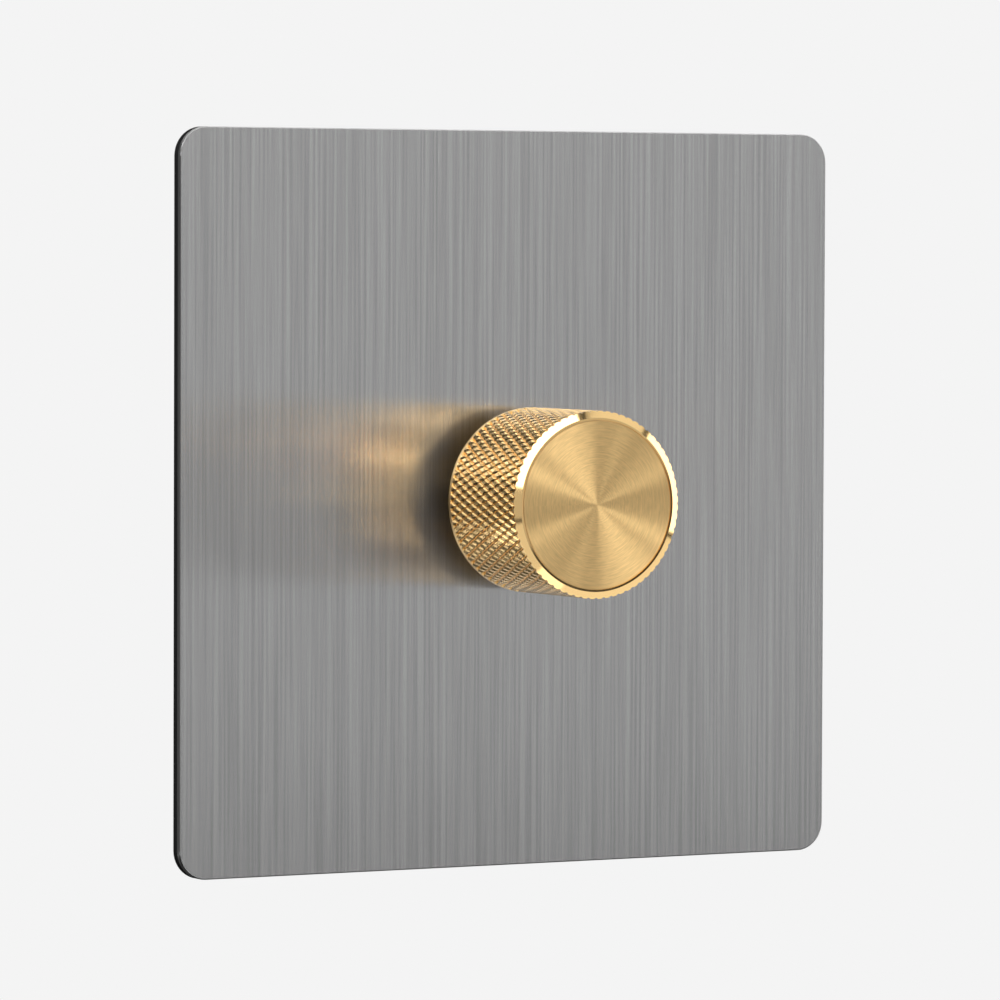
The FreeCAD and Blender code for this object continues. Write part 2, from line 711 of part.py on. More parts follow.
def pot_legs():
    """Three tinned legs that leave the can below the track and turn back to the board."""
    back = CAN_BACK - CAN_WALL
    legs = []
    for i in (-1, 0, 1):
        across = (i * POT_LEG_PITCH - LEG_WIDTH / 2, i * POT_LEG_PITCH + LEG_WIDTH / 2)
        out = block(across, (back - LEG_T, back), (-POT_LEG_DROP, -CAN_R / 2))
        down = block(across, (back - LEG_T, BOARD_BACK), (-POT_LEG_DROP - LEG_T, -POT_LEG_DROP))
        legs.append(without(joined([out, down]), [rod(TRACK_R, CAN_FRONT, CAN_BACK)]))
    return Part.makeCompound(legs)


def wiper_disc():
    back = WIPER_FRONT + WIPER_T
    bore = rod(SHAFT_R + DRIVE_CLEARANCE, WIPER_FRONT, back)
    key = flat_cutter(DRIVE_FLAT_HEIGHT + DRIVE_CLEARANCE, WIPER_FRONT, back, GRUB_ANGLE)
    return without(rod(WIPER_R, WIPER_FRONT, back), [bore.cut(key)])


def wiper_contact():
    """A sprung copper strip on the wiper disc, with its raised end just clear of the track."""
    root = WIPER_FRONT + WIPER_T
    tip = CAN_BACK - CAN_WALL - TRACK_T - FINGER_GAP
    half = FINGER_LENGTH / 2
    outline = [
        (-half, root),
        (-half, root + FINGER_T),
        (0, root + FINGER_T),
        (half - 2 * FINGER_T, tip),
        (half, tip),
        (half, tip - FINGER_T),
        (half - FINGER_T, tip - FINGER_T),
        (FINGER_T, root),
    ]
    points = [Vector(x, y, FINGER_INNER_R) for x, y in outline]
    face = Part.Face(Part.makePolygon(points + points[:1]))
    return face.extrude(Vector(0, 0, FINGER_WIDTH))


# ---- Push switch --------------------------------------------------------------------------------------
SWITCH_INSIDE_FRONT = CAN_BACK + SWITCH_WALL
SWITCH_INSIDE_BACK = BOARD_FRONT - SWITCH_BACK_WALL
BRIDGE_BACK = SWITCH_INSIDE_FRONT + PLUNGER_FLANGE_T + BRIDGE_T
CONTACT_FRONT = BRIDGE_BACK + PUSH_TRAVEL + CONTACT_GAP


def fixed_contact(x):
    half = CONTACT_SIZE / 2
    pad = block((x - half, x + half), (CONTACT_FRONT, CONTACT_FRONT + CONTACT_T), (-half, half))
    leg = block(
        (x - LEG_WIDTH / 2, x + LEG_WIDTH / 2),
        (CONTACT_FRONT, BOARD_BACK),
        (-LEG_T / 2, LEG_T / 2),
    )
    return joined([pad, leg])


def switch_contacts():
    return Part.makeCompound([fixed_contact(-CONTACT_X), fixed_contact(CONTACT_X)])


def switch_housing():
    half = SWITCH_SIDE / 2
    wall = half - SWITCH_WALL
    case = block((-half, half), (CAN_BACK, BOARD_FRONT), (-half, half))
    inside = block((-wall, wall), (SWITCH_INSIDE_FRONT, SWITCH_INSIDE_BACK), (-wall, wall))
    hole = rod(CAN_HOLE_R, CAN_BACK, SWITCH_INSIDE_FRONT)
    return without(case, [inside, hole, switch_contacts()])


def switch_plunger():
    flange_back = SWITCH_INSIDE_FRONT + PLUNGER_FLANGE_T
    stub_back = flange_back + PLUNGER_STUB_LENGTH
    return turned(
        [
            (0, SHAFT_BACK),
            (PLUNGER_STEM_R, SHAFT_BACK),
            (PLUNGER_STEM_R, SWITCH_INSIDE_FRONT),
            (PLUNGER_FLANGE_R, SWITCH_INSIDE_FRONT),
            (PLUNGER_FLANGE_R, flange_back),
            (PLUNGER_STUB_R, flange_back),
            (PLUNGER_STUB_R, stub_back),
            (0, stub_back),
        ]
    )


def contact_bridge():
    strip = block(
        (-BRIDGE_LENGTH / 2, BRIDGE_LENGTH / 2),
        (BRIDGE_BACK - BRIDGE_T, BRIDGE_BACK),
        (-BRIDGE_WIDTH / 2, BRIDGE_WIDTH / 2),
    )
    collar = rod(BRIDGE_WIDTH, BRIDGE_BACK - BRIDGE_T, BRIDGE_BACK)
    return without(joined([strip, collar]), [rod(PLUNGER_STUB_R, BRIDGE_BACK - BRIDGE_T, BRIDGE_BACK)])


def return_spring():
    """A short coil of eight-sided wire between the contact bridge and the switch's rear wall."""
    start = BRIDGE_BACK + SPRING_WIRE_R
    length = SWITCH_INSIDE_BACK - BRIDGE_BACK - 2 * SPRING_WIRE_R
    helix = Part.makeHelix(length / SPRING_TURNS, length, SPRING_R)
    section = []
    for i in range(SPRING_SECTION_SIDES + 1):
        turn = 2 * math.pi * (i + 0.5) / SPRING_SECTION_SIDES
        across = SPRING_WIRE_R * math.cos(turn)
        along = SPRING_WIRE_R * math.sin(turn)
        section.append(Vector(SPRING_R + across, 0, along))
    coil = Part.Wire(helix).makePipeShell([Part.makePolygon(section)], True, True)
    coil.rotate(Vector(0, 0, 0), Vector(1, 0, 0), -90)
    coil.translate(Vector(0, start, 0))
    return coil


# ---- Circuit board ------------------------------------------------------------------------------------
def lead(x, z, y0, y1, radius=LEAD_R):
    return rod(radius, y0, y1, (x, z))


def film_capacitor():
    width, tall, deep = FILM_CAP_SIZE
    x, z = FILM_CAP_CENTRE
    case = block(
        (x - width / 2, x + width / 2), (BOARD_FRONT - tall, BOARD_FRONT), (z - deep / 2, z + deep / 2)
    )
    leads = [
        lead(x + side * FILM_LEAD_PITCH / 2, z, BOARD_FRONT - 1, BOARD_BACK) for side in (-1, 1)
    ]
    return joined([case] + leads)


def reservoir_capacitor():
    front = BOARD_FRONT - RESERVOIR_LENGTH
    neck = BOARD_FRONT - 2
    profile = [
        (0, front),
        (RESERVOIR_R - RESERVOIR_GROOVE, front),
        (RESERVOIR_R, front + RESERVOIR_GROOVE),
        (RESERVOIR_R, neck - RESERVOIR_GROOVE),
        (RESERVOIR_R - RESERVOIR_GROOVE, neck),
        (RESERVOIR_R, neck + RESERVOIR_GROOVE),
        (RESERVOIR_R, BOARD_FRONT),
        (0, BOARD_FRONT),
    ]
    x, z = RESERVOIR_CENTRE
    leads = [
        lead(x + side * RESERVOIR_LEAD_PITCH / 2, z, BOARD_FRONT - 1, BOARD_BACK) for side in (-1, 1)
    ]
    return joined([turned(profile, RESERVOIR_CENTRE)] + leads)


def fuse_lead(side, end):
    """A round lead that leaves the fuse's end along Z and turns back to the board at a sharp bend."""
    start = Vector(FUSE_X, FUSE_Y, end)
    bend = start + Vector(0, 0, side * FUSE_LEAD_REACH)
    path = Part.makePolygon([start, bend, Vector(FUSE_X, BOARD_BACK, bend.z)])
    section = Part.Wire(Part.makeCircle(LEAD_R, start, Vector(0, 0, side)))
    return path.makePipeShell([section], True, False, 1)


def thermal_fuse():
    """A fuse along Z that stands off the board on its two bent leads."""
    low = FUSE_CENTRE_Z - FUSE_LENGTH / 2
    high = FUSE_CENTRE_Z + FUSE_LENGTH / 2
    barrel = upright(FUSE_R, low, high, FUSE_X, FUSE_Y)
    return joined([barrel, fuse_lead(-1, low), fuse_lead(1, high)])


def control_chip():
    width, tall, deep = CHIP_SIZE
    x, z = CHIP_CENTRE
    base = BOARD_BACK + CHIP_STANDOFF
    pieces = [block((x - width / 2, x + width / 2), (base, base + tall), (z - deep / 2, z + deep / 2))]
    for i in range(CHIP_PINS_A_SIDE):
        pin_x = x + (i - (CHIP_PINS_A_SIDE - 1) / 2) * CHIP_PIN_PITCH
        across = (pin_x - CHIP_PIN_WIDTH / 2, pin_x + CHIP_PIN_WIDTH / 2)
        reach = deep / 2 + CHIP_PIN_REACH
        pieces.append(block(across, (BOARD_BACK, BOARD_BACK + CHIP_PIN_T), (z - reach, z + reach)))
    return joined(pieces)


def choke_core():
    x, z = CORE_CENTRE
    back = CORE_FRONT + CORE_T
    return without(
        rod(CORE_OUTER_R, CORE_FRONT, back, (x, z)), [rod(CORE_INNER_R, CORE_FRONT, back, (x, z))]
    )


def choke_winding():
    """Square-section turns of copper wire round the core, evenly spaced."""
    gap, wire = WINDING_CLEARANCE, WINDING_WIRE
    inner = block(
        (CORE_INNER_R - gap, CORE_OUTER_R + gap),
        (CORE_FRONT - gap, CORE_FRONT + CORE_T + gap),
        (-wire / 2, wire / 2),
    )
    outer = block(
        (CORE_INNER_R - gap - wire, CORE_OUTER_R + gap + wire),
        (CORE_FRONT - gap - wire, CORE_FRONT + CORE_T + gap + wire),
        (-wire / 2, wire / 2),
    )
    turn = outer.cut(inner)
    turns = []
    for i in range(WINDING_TURNS):
        copy = turn.copy()
        copy.rotate(Vector(0, 0, 0), ALONG_Y, 360 * i / WINDING_TURNS)
        copy.translate(Vector(CORE_CENTRE[0], 0, CORE_CENTRE[1]))
        turns.append(copy)
    return Part.makeCompound(turns)


def tab_hole(x, radius, y0, y1):
    return rod(radius, y0, y1, (x, TAB_HOLE_Z))


def heat_sink():
    plate = block(SINK_X, (SINK_FRONT, SINK_BACK), SINK_Z)
    return without(plate, [tab_hole(x, TAB_SCREW_R, SINK_FRONT, SINK_BACK) for x in TRANSISTOR_X])


def thermal_pad():
    front = SINK_FRONT - PAD_T
    pad = block(SINK_X, (front, SINK_FRONT), PAD_Z)
    return without(pad, [tab_hole(x, TAB_HOLE_R, front, SINK_FRONT) for x in TRANSISTOR_X])


def power_transistor(x):
    """A three-legged package, tab against the heat sink, legs bent forward into the board."""
    tab_back = SINK_FRONT - PAD_T
    tab_front = tab_back - TAB_T
    across = (x - TRANSISTOR_WIDTH / 2, x + TRANSISTOR_WIDTH / 2)
    low, middle, high = TRANSISTOR_Z
    tab = block(across, (tab_front, tab_back), (low, high))
    body = block(across, (tab_front - TRANSISTOR_BODY_T, tab_front), (low, middle))
    pieces = [tab.cut(tab_hole(x, TAB_HOLE_R, tab_front, tab_back)), body]
    leg_back = tab_front - TAB_T / 2
    leg_front = leg_back - TRANSISTOR_LEAD_T
    for i in (-1, 0, 1):
        leg_x = x + i * TRANSISTOR_LEAD_PITCH
        leg = (leg_x - TRANSISTOR_LEAD_WIDTH / 2, leg_x + TRANSISTOR_LEAD_WIDTH / 2)
        knee = low - TRANSISTOR_LEAD_DROP
        pieces.append(block(leg, (leg_front, leg_back), (knee, low)))
        pieces.append(block(leg, (BOARD_FRONT, leg_back), (knee, knee + TRANSISTOR_LEAD_T)))
    return joined(pieces)


def power_transistors():
    return Part.makeCompound([power_transistor(x) for x in TRANSISTOR_X])


def transistor_screws():
    head_back = SINK_FRONT - PAD_T - TAB_T
    screws = []
    for x in TRANSISTOR_X:
        head = tab_hole(x, TAB_SCREW_HEAD_R, head_back - TAB_SCREW_HEAD_T, head_back)
        shank = tab_hole(x, TAB_SCREW_R, head_back, SINK_BACK)
        screws.append(joined([head, shank]))
    return Part.makeCompound(screws)


def trimmer_body():
    x, z = TRIMMER_CENTRE
    half = TRIMMER_SIDE / 2
    back = BOARD_BACK + TRIMMER_T
    body = block((x - half, x + half), (BOARD_BACK, back), (z - half, z + half))
    socket = rod(TRIMMER_STEM_BORE_R, back - TRIMMER_STEM_LENGTH - FINGER_GAP, back, TRIMMER_CENTRE)
    return without(body, [socket])


def trimmer_rotor():
    """The adjuster for the lowest light level, slotted for a screwdriver behind the plate."""
    x, z = TRIMMER_CENTRE
    body_back = BOARD_BACK + TRIMMER_T
    stem = rod(TRIMMER_STEM_R, body_back - TRIMMER_STEM_LENGTH, body_back + FINGER_GAP, TRIMMER_CENTRE)
    head = rod(TRIMMER_ROTOR_R, body_back + FINGER_GAP, TRIMMER_ROTOR_BACK, TRIMMER_CENTRE)
    half = TRIMMER_SLOT_WIDTH / 2
    slot = block(
        (x - TRIMMER_ROTOR_R, x + TRIMMER_ROTOR_R),
        (TRIMMER_ROTOR_BACK - TRIMMER_SLOT_DEPTH, TRIMMER_ROTOR_BACK),
        (z - half, z + half),
    )
    return without(joined([stem, head]), [slot])


def main_board():
    half = BOARD_SIDE / 2
    board = block((-half, half), (BOARD_FRONT, BOARD_BACK), (-half, half))
    corners = [rod(BOARD_POST_CLEARANCE_R, BOARD_FRONT, BOARD_BACK, place) for place in post_places()]
    leaded = [
        pot_legs(),
        switch_contacts(),
        film_capacitor(),
        reservoir_capacitor(),
        thermal_fuse(),
        power_transistors(),
    ]
    tails = [tail(x) for x in terminal_places()]
    return without(board, corners + leaded + tails)


# ---- Terminals ----------------------------------------------------------------------------------------
def terminal_places():
    return [-TERMINAL_PITCH, 0.0, TERMINAL_PITCH]


def tail(x):
    """The square pin that joins a pillar to the board."""
    middle = PILLAR_BOTTOM + PILLAR_HEIGHT / 2
    half = TAIL_SIDE / 2
    return block((x - half, x + half), (BOARD_FRONT, PILLAR_FRONT), (middle - half, middle + half))


def wire_axis_y(front):
    return front + WIRE_BORE_FLOOR + WIRE_BORE_R


def pillar(x, front, bottom):
    """A brass pillar with a wire bore from below and a screw thread from behind."""
    back = front + PILLAR_DEPTH
    top = bottom + PILLAR_HEIGHT
    half = PILLAR_WIDTH / 2
    brass = block((x - half, x + half), (front, back), (bottom, top))
    wire = upright(WIRE_BORE_R, bottom, bottom + WIRE_BORE_DEPTH, x, wire_axis_y(front))
    middle = bottom + PILLAR_HEIGHT / 2
    thread = rod(TERMINAL_SCREW_R, wire_axis_y(front), back, (x, middle))
    return without(brass, [wire, thread])


def headless_screw(x, front, bottom):
    """A slotted headless screw, backed out so that its tip is clear of the wire bore."""
    middle = bottom + PILLAR_HEIGHT / 2
    tip = wire_axis_y(front) + WIRE_BORE_R + FINGER_GAP
    end = tip + TERMINAL_SCREW_LENGTH
    slot = block(
        (x - TERMINAL_SCREW_R, x + TERMINAL_SCREW_R),
        (end - TERMINAL_SLOT_DEPTH, end),
        (middle - TERMINAL_SLOT_WIDTH / 2, middle + TERMINAL_SLOT_WIDTH / 2),
    )
    return without(rod(TERMINAL_SCREW_R, tip, end, (x, middle)), [slot])


def terminal_pillars():
    pillars = []
    for x in terminal_places():
        pillars.append(joined([pillar(x, PILLAR_FRONT, PILLAR_BOTTOM), tail(x)]))
    return Part.makeCompound(pillars)


def terminal_screws():
    return Part.makeCompound(
        [headless_screw(x, PILLAR_FRONT, PILLAR_BOTTOM) for x in terminal_places()]
    )


def terminal_block():
    body = block(
        (-BLOCK_HALF_WIDTH, BLOCK_HALF_WIDTH), (NOTCH_FLOOR, MODULE_BACK), (BLOCK_BOTTOM, BLOCK_TOP)
    )
    rear_edges = [e for e in body.Edges if abs(e.BoundBox.YMin - MODULE_BACK) < 1e-6]
    body = body.makeChamfer(BLOCK_EDGE_BREAK, rear_edges)
    half = PILLAR_WIDTH / 2 + POCKET_CLEARANCE
    pocket_back = PILLAR_FRONT + PILLAR_DEPTH + POCKET_CLEARANCE
    pocket_z = (PILLAR_BOTTOM - POCKET_CLEARANCE, PILLAR_BOTTOM + PILLAR_HEIGHT + POCKET_CLEARANCE)
    middle = PILLAR_BOTTOM + PILLAR_HEIGHT / 2
    cuts = []
    for x in terminal_places():
        cuts.append(block((x - half, x + half), (NOTCH_FLOOR, pocket_back), pocket_z))
        cuts.append(rod(TERMINAL_SCREW_HOLE_R, pocket_back, MODULE_BACK, (x, middle)))
        cuts.append(upright(WIRE_FUNNEL_R, BLOCK_BOTTOM, pocket_z[0], x, wire_axis_y(PILLAR_FRONT)))
    for side in (-1, 1):
        groove = side * TERMINAL_PITCH / 2
        across = (groove - RIB_WIDTH / 2, groove + RIB_WIDTH / 2)
        cuts.append(block(across, (MODULE_BACK - RIB_DEPTH, MODULE_BACK), (BLOCK_BOTTOM, BLOCK_TOP)))
    return without(body, cuts)


def earth_terminal():
    return pillar(EARTH_CENTRE_X, YOKE_BACK, EARTH_BOTTOM)


def earth_screw():
    return headless_screw(EARTH_CENTRE_X, YOKE_BACK, EARTH_BOTTOM)


# ---- Export -------------------------------------------------------------------------------------------
NODES = [
    face_plate,
    plate_gasket,
    plate_clips,
    mounting_yoke,
    box_screws,
    knob_body,
    grub_screw,
    control_shaft,
    retaining_ring,
    control_bush,
    bush_nut,
    lock_washer,
    housing_front,
    housing_rear,
    housing_screws,
    pot_housing,
    pot_track,
    pot_legs,
    wiper_disc,
    wiper_contact,
    switch_housing,
    switch_contacts,
    switch_plunger,
    contact_bridge,
    return_spring,
    main_board,
    film_capacitor,
    reservoir_capacitor,
    thermal_fuse,
    control_chip,
    choke_core,
    choke_winding,
    heat_sink,
    thermal_pad,
    power_transistors,
    transistor_screws,
    trimmer_body,
    trimmer_rotor,
    terminal_block,
    terminal_pillars,
    terminal_screws,
    earth_terminal,
    earth_screw,
]


def main():
    os.makedirs("parts", exist_ok=True)
    for make in NODES:
        shape = make()
        if not shape.isValid() or not shape.Solids:
            raise ValueError(f"{make.__name__} is not a valid solid")
        shape.exportStep(f"parts/{make.__name__}.step")
        print(f"{make.__name__}: {len(shape.Solids)} solid(s), {shape.Volume:.1f} mm3")


main()
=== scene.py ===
"""Looks of a rotary dimmer: a knurled brass knob on a square plate of brushed steel.

The control module behind the plate is dressed too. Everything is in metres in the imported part's frame:
X right, Z up, Y into the wall, with the plate's centre at the origin.
"""

import math

import bmesh
import bpy
from mathutils import Matrix, Vector


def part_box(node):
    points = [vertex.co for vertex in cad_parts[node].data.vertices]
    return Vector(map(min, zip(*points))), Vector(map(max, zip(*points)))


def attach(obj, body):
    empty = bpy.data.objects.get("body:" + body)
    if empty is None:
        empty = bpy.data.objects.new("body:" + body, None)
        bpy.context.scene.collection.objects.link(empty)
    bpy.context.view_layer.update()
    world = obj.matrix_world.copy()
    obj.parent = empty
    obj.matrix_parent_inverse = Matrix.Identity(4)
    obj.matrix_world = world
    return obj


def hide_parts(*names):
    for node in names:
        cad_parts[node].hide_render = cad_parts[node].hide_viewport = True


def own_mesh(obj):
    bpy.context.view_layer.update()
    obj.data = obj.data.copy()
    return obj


MM = 0.001

# ---- Camera and stage: metres and degrees -------------------------------------------------
CAMERA_PLACE = (-0.3687, -0.6712, 0.0305)
CAMERA_YAW = 28.74
CAMERA_PITCH = 2.30
CAMERA_ROLL = 0.20
CAMERA_LENS = 227.4
CAMERA_NEAR = 0.01
SENSOR_WIDTH = 36.0
BACKDROP_LEVEL = 0.905
SURROUND_LEVEL = 0.07
FLOOR_DROP = 0.50
FLOOR_R = 2.8
FLOOR_SIDES = 96

# ---- Lamps --------------------------------------------------------------------------------
# Name, azimuth, elevation, width, height, distance, radiance, tilt. Angles are in degrees.
LAMPS = (
    ("slit_low", -1.5, 13.5, 0.50, 0.15, 1.5, 4.7, 58.0),
    ("slit_high", 13.0, 25.5, 0.54, 0.15, 1.5, 5.0, 25.0),
    ("key_top", 17.3, 43.0, 0.69, 0.48, 1.5, 4.1, 0.0),
    ("hair", -25.0, 52.0, 0.90, 0.70, 1.5, 4.9, 0.0),
    ("fill_top", 42.0, 25.0, 0.66, 0.26, 1.5, 0.96, 0.0),
    ("wedge_right", 69.0, 37.0, 0.30, 0.34, 1.5, 6.4, 0.0),
    ("spot_left", -20.0, 20.0, 0.30, 0.30, 1.5, 12.5, 0.0),
    ("low_left", -19.0, -23.0, 0.26, 0.20, 0.90, 4.7, 0.0),
    ("low_front", 1.0, -21.0, 0.42, 0.37, 0.85, 0.81, 0.0),
    ("low_wide", 36.0, -25.0, 0.85, 0.34, 0.80, 1.03, 0.0),
    ("strip_right", 60.5, 4.0, 0.30, 0.75, 1.5, 3.0, 0.0),
    ("card", 3.0, 8.5, 2.6, 1.01, 1.8, 0.57, 0.0),
    ("overhead", 0.0, 86.0, 2.4, 2.4, 2.2, 1.82, 0.0),
    ("back_left", 240.0, 38.0, 1.1, 1.1, 1.6, 3.6, 0.0),
    ("back_right", 124.0, 30.0, 0.9, 0.9, 1.6, 4.0, 0.0),
    ("back_card", 198.0, 2.0, 1.9, 0.9, 2.0, 0.45, 0.0),
)

# ---- Finishes -----------------------------------------------------------------------------
# Three numbers in a row are how often a grain repeats per metre along X, Y and Z.
FINE_BRUSH = (3200.0, 100.0, 16.0)
STRONG_BRUSH = (4300.0, 100.0, 60.0)
FINE_BRUSH_SHARE = 0.65
BRUSH_TANGENT = (1.0, 0.5, 0.0)
# Share of the sheet's colour kept on its cut edges: the rest is taken away there as painted shade.
CUT_EDGE_PAINTED_SHADE = 0.58
CUT_EDGE_ROUGHNESS = 0.26
FACE_RINGS = 7000.0
FACE_RING_SHARE = 0.4
FACE_ARCS_OUT = 5200.0
FACE_ARCS_ROUND = 5.0
EVEN_GRAIN = (900.0, 900.0, 900.0)
UPRIGHT_GRAIN = (2200.0, 2200.0, 120.0)
INWARD_GRAIN = (2200.0, 120.0, 2200.0)
TURNED_GRAIN = (300.0, 5000.0, 300.0)
KNOB_BACK_GRAIN = (300.0, 4000.0, 300.0)
METAL_TINT = 0.10
METAL_RELIEF = 0.004 * MM
METAL_ROUGHNESS_SPAN = (0.8, 1.3)
PLASTIC_ROUGHNESS_SPAN = (0.85, 1.2)

# ---- Knob ---------------------------------------------------------------------------------
# The crest is the height in a groove's wave, from 0 to 1, where the diamonds' tops are cut flat.
# The rings before the knurl are the plain ones that knob_rows lists first.
KNURL_STARTS = 68
STEPS_PER_TOOTH = 8
KNURL_COLUMNS = KNURL_STARTS * STEPS_PER_TOOTH
KNURL_HELIX = 21.3
KNURL_DEPTH = 0.27 * MM
KNURL_CREST = 0.42
KNURL_START_SHARE = 0.1
RINGS_BEFORE_KNURL = 7
EDGE_SCALLOP = 0.14 * MM
BACK_BREAK = 0.40 * MM
BACK_RIM = 0.45 * MM
RING_DEPTH = 0.35 * MM
RING_INNER_R = 10.05 * MM
LIP_WIDTH = 0.25 * MM
LIP_DROP = 0.02 * MM
GROOVE_WIDTH = 0.13 * MM
GROOVE_DEPTH = 0.20 * MM
GROOVE_WALL_SHARE = 0.2
FACE_RECESS = 0.12 * MM
RECESS_R = 6.0 * MM
RECESS_DEPTH = 2.5 * MM
BORE_R = 3.02 * MM
BORE_END = -18.8 * MM
GRUB_HOLE_R = 2.0 * MM
GRUB_HOLE_SIDES = 48
GRUB_CUTTER_REACH = 1.5
GRUB_HOLE_Y = -13.0 * MM
GRUB_HOLE_ANGLE = -60.0

# ---- Wall-box screws ----------------------------------------------------------------------
SCREW_SPACING = 60.3 * MM
SCREW_R = 1.75 * MM
SCREW_NECK_R = 1.55 * MM
SCREW_HEAD_R = 3.35 * MM
SCREW_HEAD_TOP = -0.75 * MM
SCREW_THREAD_START = 2.0 * MM
SCREW_END = 25.0 * MM
SCREW_TIP_BREAK = 0.5 * MM
SCREW_PITCH = 0.60 * MM
THREAD_DEPTH = 0.36 * MM
THREAD_COLUMNS = 24
ROWS_PER_PITCH = 6
CROSS_WIDTH = 0.9 * MM
CROSS_SPAN = 3.6 * MM
CROSS_DEPTH = 1.1 * MM

# ---- Return spring ------------------------------------------------------------------------
SPRING_WIRE_R = 0.175 * MM
SPRING_TURNS = 2.5
SPRING_STEPS = 60
SPRING_SIDES = 10


# ---- Shader building ----------------------------------------------------------------------
def add(tree, kind, inputs=None, **settings):
    """One shader node; each input is a plain value or the socket that feeds it."""
    node = tree.nodes.new("ShaderNode" + kind)
    for name, value in settings.items():
        setattr(node, name, value)
    for name, value in (inputs or {}).items():
        if isinstance(value, bpy.types.NodeSocket):
            tree.links.new(value, node.inputs[name])
        else:
            node.inputs[name].default_value = value
    return node


def colour(red, green, blue):
    return (red, green, blue, 1.0)


def shade(base, factor):
    """A colour made lighter or darker by a factor."""
    return colour(*(min(channel * factor, 1.0) for channel in base[:3]))


def new_finish(name, **constants):
    """A material and its Principled shader, with the constants set on the shader's own sockets."""
    material = bpy.data.materials.new(name)
    material.use_nodes = True
    shader = material.node_tree.nodes["Principled BSDF"]
    for key, value in constants.items():
        shader.inputs[key.replace("_", " ").title().replace("Ior", "IOR")].default_value = value
    return material, material.node_tree, shader


def object_place(tree, stretch=(1.0, 1.0, 1.0)):
    """Object coordinates, in metres, stretched along each axis."""
    place = add(tree, "TexCoord").outputs["Object"]
    return add(tree, "Mapping", {"Vector": place, "Scale": stretch}).outputs["Vector"]


def noise(tree, vector, scale, detail=2.0, roughness=0.5):
    inputs = {"Vector": vector, "Scale": scale, "Detail": detail, "Roughness": roughness}
    return add(tree, "TexNoise", inputs).outputs["Fac"]


def remap(tree, value, low, high):
    """A value from 0 to 1, spread from low to high."""
    inputs = {"Value": value, "To Min": low, "To Max": high}
    return add(tree, "MapRange", inputs).outputs["Result"]


def maths(tree, operation, first, second):
    return add(tree, "Math", {0: first, 1: second}, operation=operation).outputs[0]


def blend(tree, first, second, share):
    """A weighted sum of two values, with the first one's share."""
    first_part = maths(tree, "MULTIPLY", first, share)
    second_part = maths(tree, "MULTIPLY", second, 1.0 - share)
    return maths(tree, "ADD", first_part, second_part)


def ramp(tree, value, *stops):
    """A colour for a value, from (position, colour) stops."""
    node = add(tree, "ValToRGB", {"Fac": value})
    elements = node.color_ramp.elements
    while len(elements) < len(stops):
        elements.new(0.5)
    for element, (position, tint) in zip(elements, stops):
        element.position = position
        element.color = tint
    return node.outputs["Color"]


def bump(tree, height, distance):
    inputs = {"Height": height, "Distance": distance, "Strength": 1.0}
    return add(tree, "Bump", inputs).outputs["Normal"]


def uneven(tree, value, roughness, span):
    """A roughness that a value varies between two shares of itself."""
    return remap(tree, value, roughness * span[0], roughness * span[1])


# ---- Finishes seen from the front ---------------------------------------------------------
BRASS = colour(0.80, 0.545, 0.24)


def brushed_sheet():
    """Stainless steel with upright brush lines, which smear reflections sideways. Its cut edges are rougher,
    and their colour is darkened as painted shade that tones down their reflections.
    The tangent leans into the sheet's depth, so it lies along the thin edges too."""
    base = colour(0.49, 0.49, 0.489)
    finish, tree, shader = new_finish("steel_brushed_upright", metallic=1.0, anisotropic=1.0)
    fine = noise(tree, object_place(tree, FINE_BRUSH), 1.0, 1.0, 0.6)
    strong = noise(tree, object_place(tree, STRONG_BRUSH), 1.0, 1.0, 0.5)
    lines = blend(tree, fine, strong, FINE_BRUSH_SHARE)
    tint = ramp(tree, lines, (0.36, shade(base, 0.89)), (0.50, base), (0.64, shade(base, 1.11)))
    sideways = add(tree, "CombineXYZ", dict(zip("XYZ", BRUSH_TANGENT))).outputs["Vector"]
    depthwise = add(tree, "SeparateXYZ", {0: add(tree, "TexCoord").outputs["Normal"]}).outputs["Y"]
    facing = maths(tree, "MULTIPLY", depthwise, depthwise)
    # Painted shade: the colour is darkened where the surface turns away from Y, on the cut edges, to tone
    # down their reflections.
    edge_painted_shade = remap(tree, facing, CUT_EDGE_PAINTED_SHADE, 1.0)
    tint_with_painted_edge_shade = add(tree, "VectorMath", {0: tint, "Scale": edge_painted_shade}, operation="SCALE")
    grain_roughness = remap(tree, strong, 0.24, 0.28)
    edge_roughness = remap(tree, facing, CUT_EDGE_ROUGHNESS, 0.0)
    rough = maths(tree, "ADD", grain_roughness, edge_roughness)
    tree.links.new(tint_with_painted_edge_shade.outputs["Vector"], shader.inputs["Base Color"])
    tree.links.new(rough, shader.inputs["Roughness"])
    tree.links.new(sideways, shader.inputs["Tangent"])
    return finish


def gasket_black():
    """Matt black moulding with a faint grain."""
    base = colour(0.004, 0.004, 0.0044)
    finish, tree, shader = new_finish("gasket_black", base_color=base, specular_ior_level=0.10)
    grain = noise(tree, object_place(tree), 2600.0, 3.0)
    tree.links.new(remap(tree, grain, 0.50, 0.68), shader.inputs["Roughness"])
    tree.links.new(bump(tree, grain, 0.02 * MM), shader.inputs["Normal"])
    return finish


def brass_knurl():
    """Bright cut brass; the diamonds themselves are in the mesh."""
    finish, tree, shader = new_finish("brass_knurl", metallic=1.0)
    mottle = noise(tree, object_place(tree), 900.0, 3.0)
    tint = ramp(tree, mottle, (0.3, shade(BRASS, 0.90)), (0.7, shade(BRASS, 1.12)))
    tree.links.new(tint, shader.inputs["Base Color"])
    tree.links.new(remap(tree, mottle, 0.07, 0.13), shader.inputs["Roughness"])
    tree.links.new(bump(tree, noise(tree, object_place(tree), 5000.0), 0.006 * MM), shader.inputs["Normal"])
    return finish


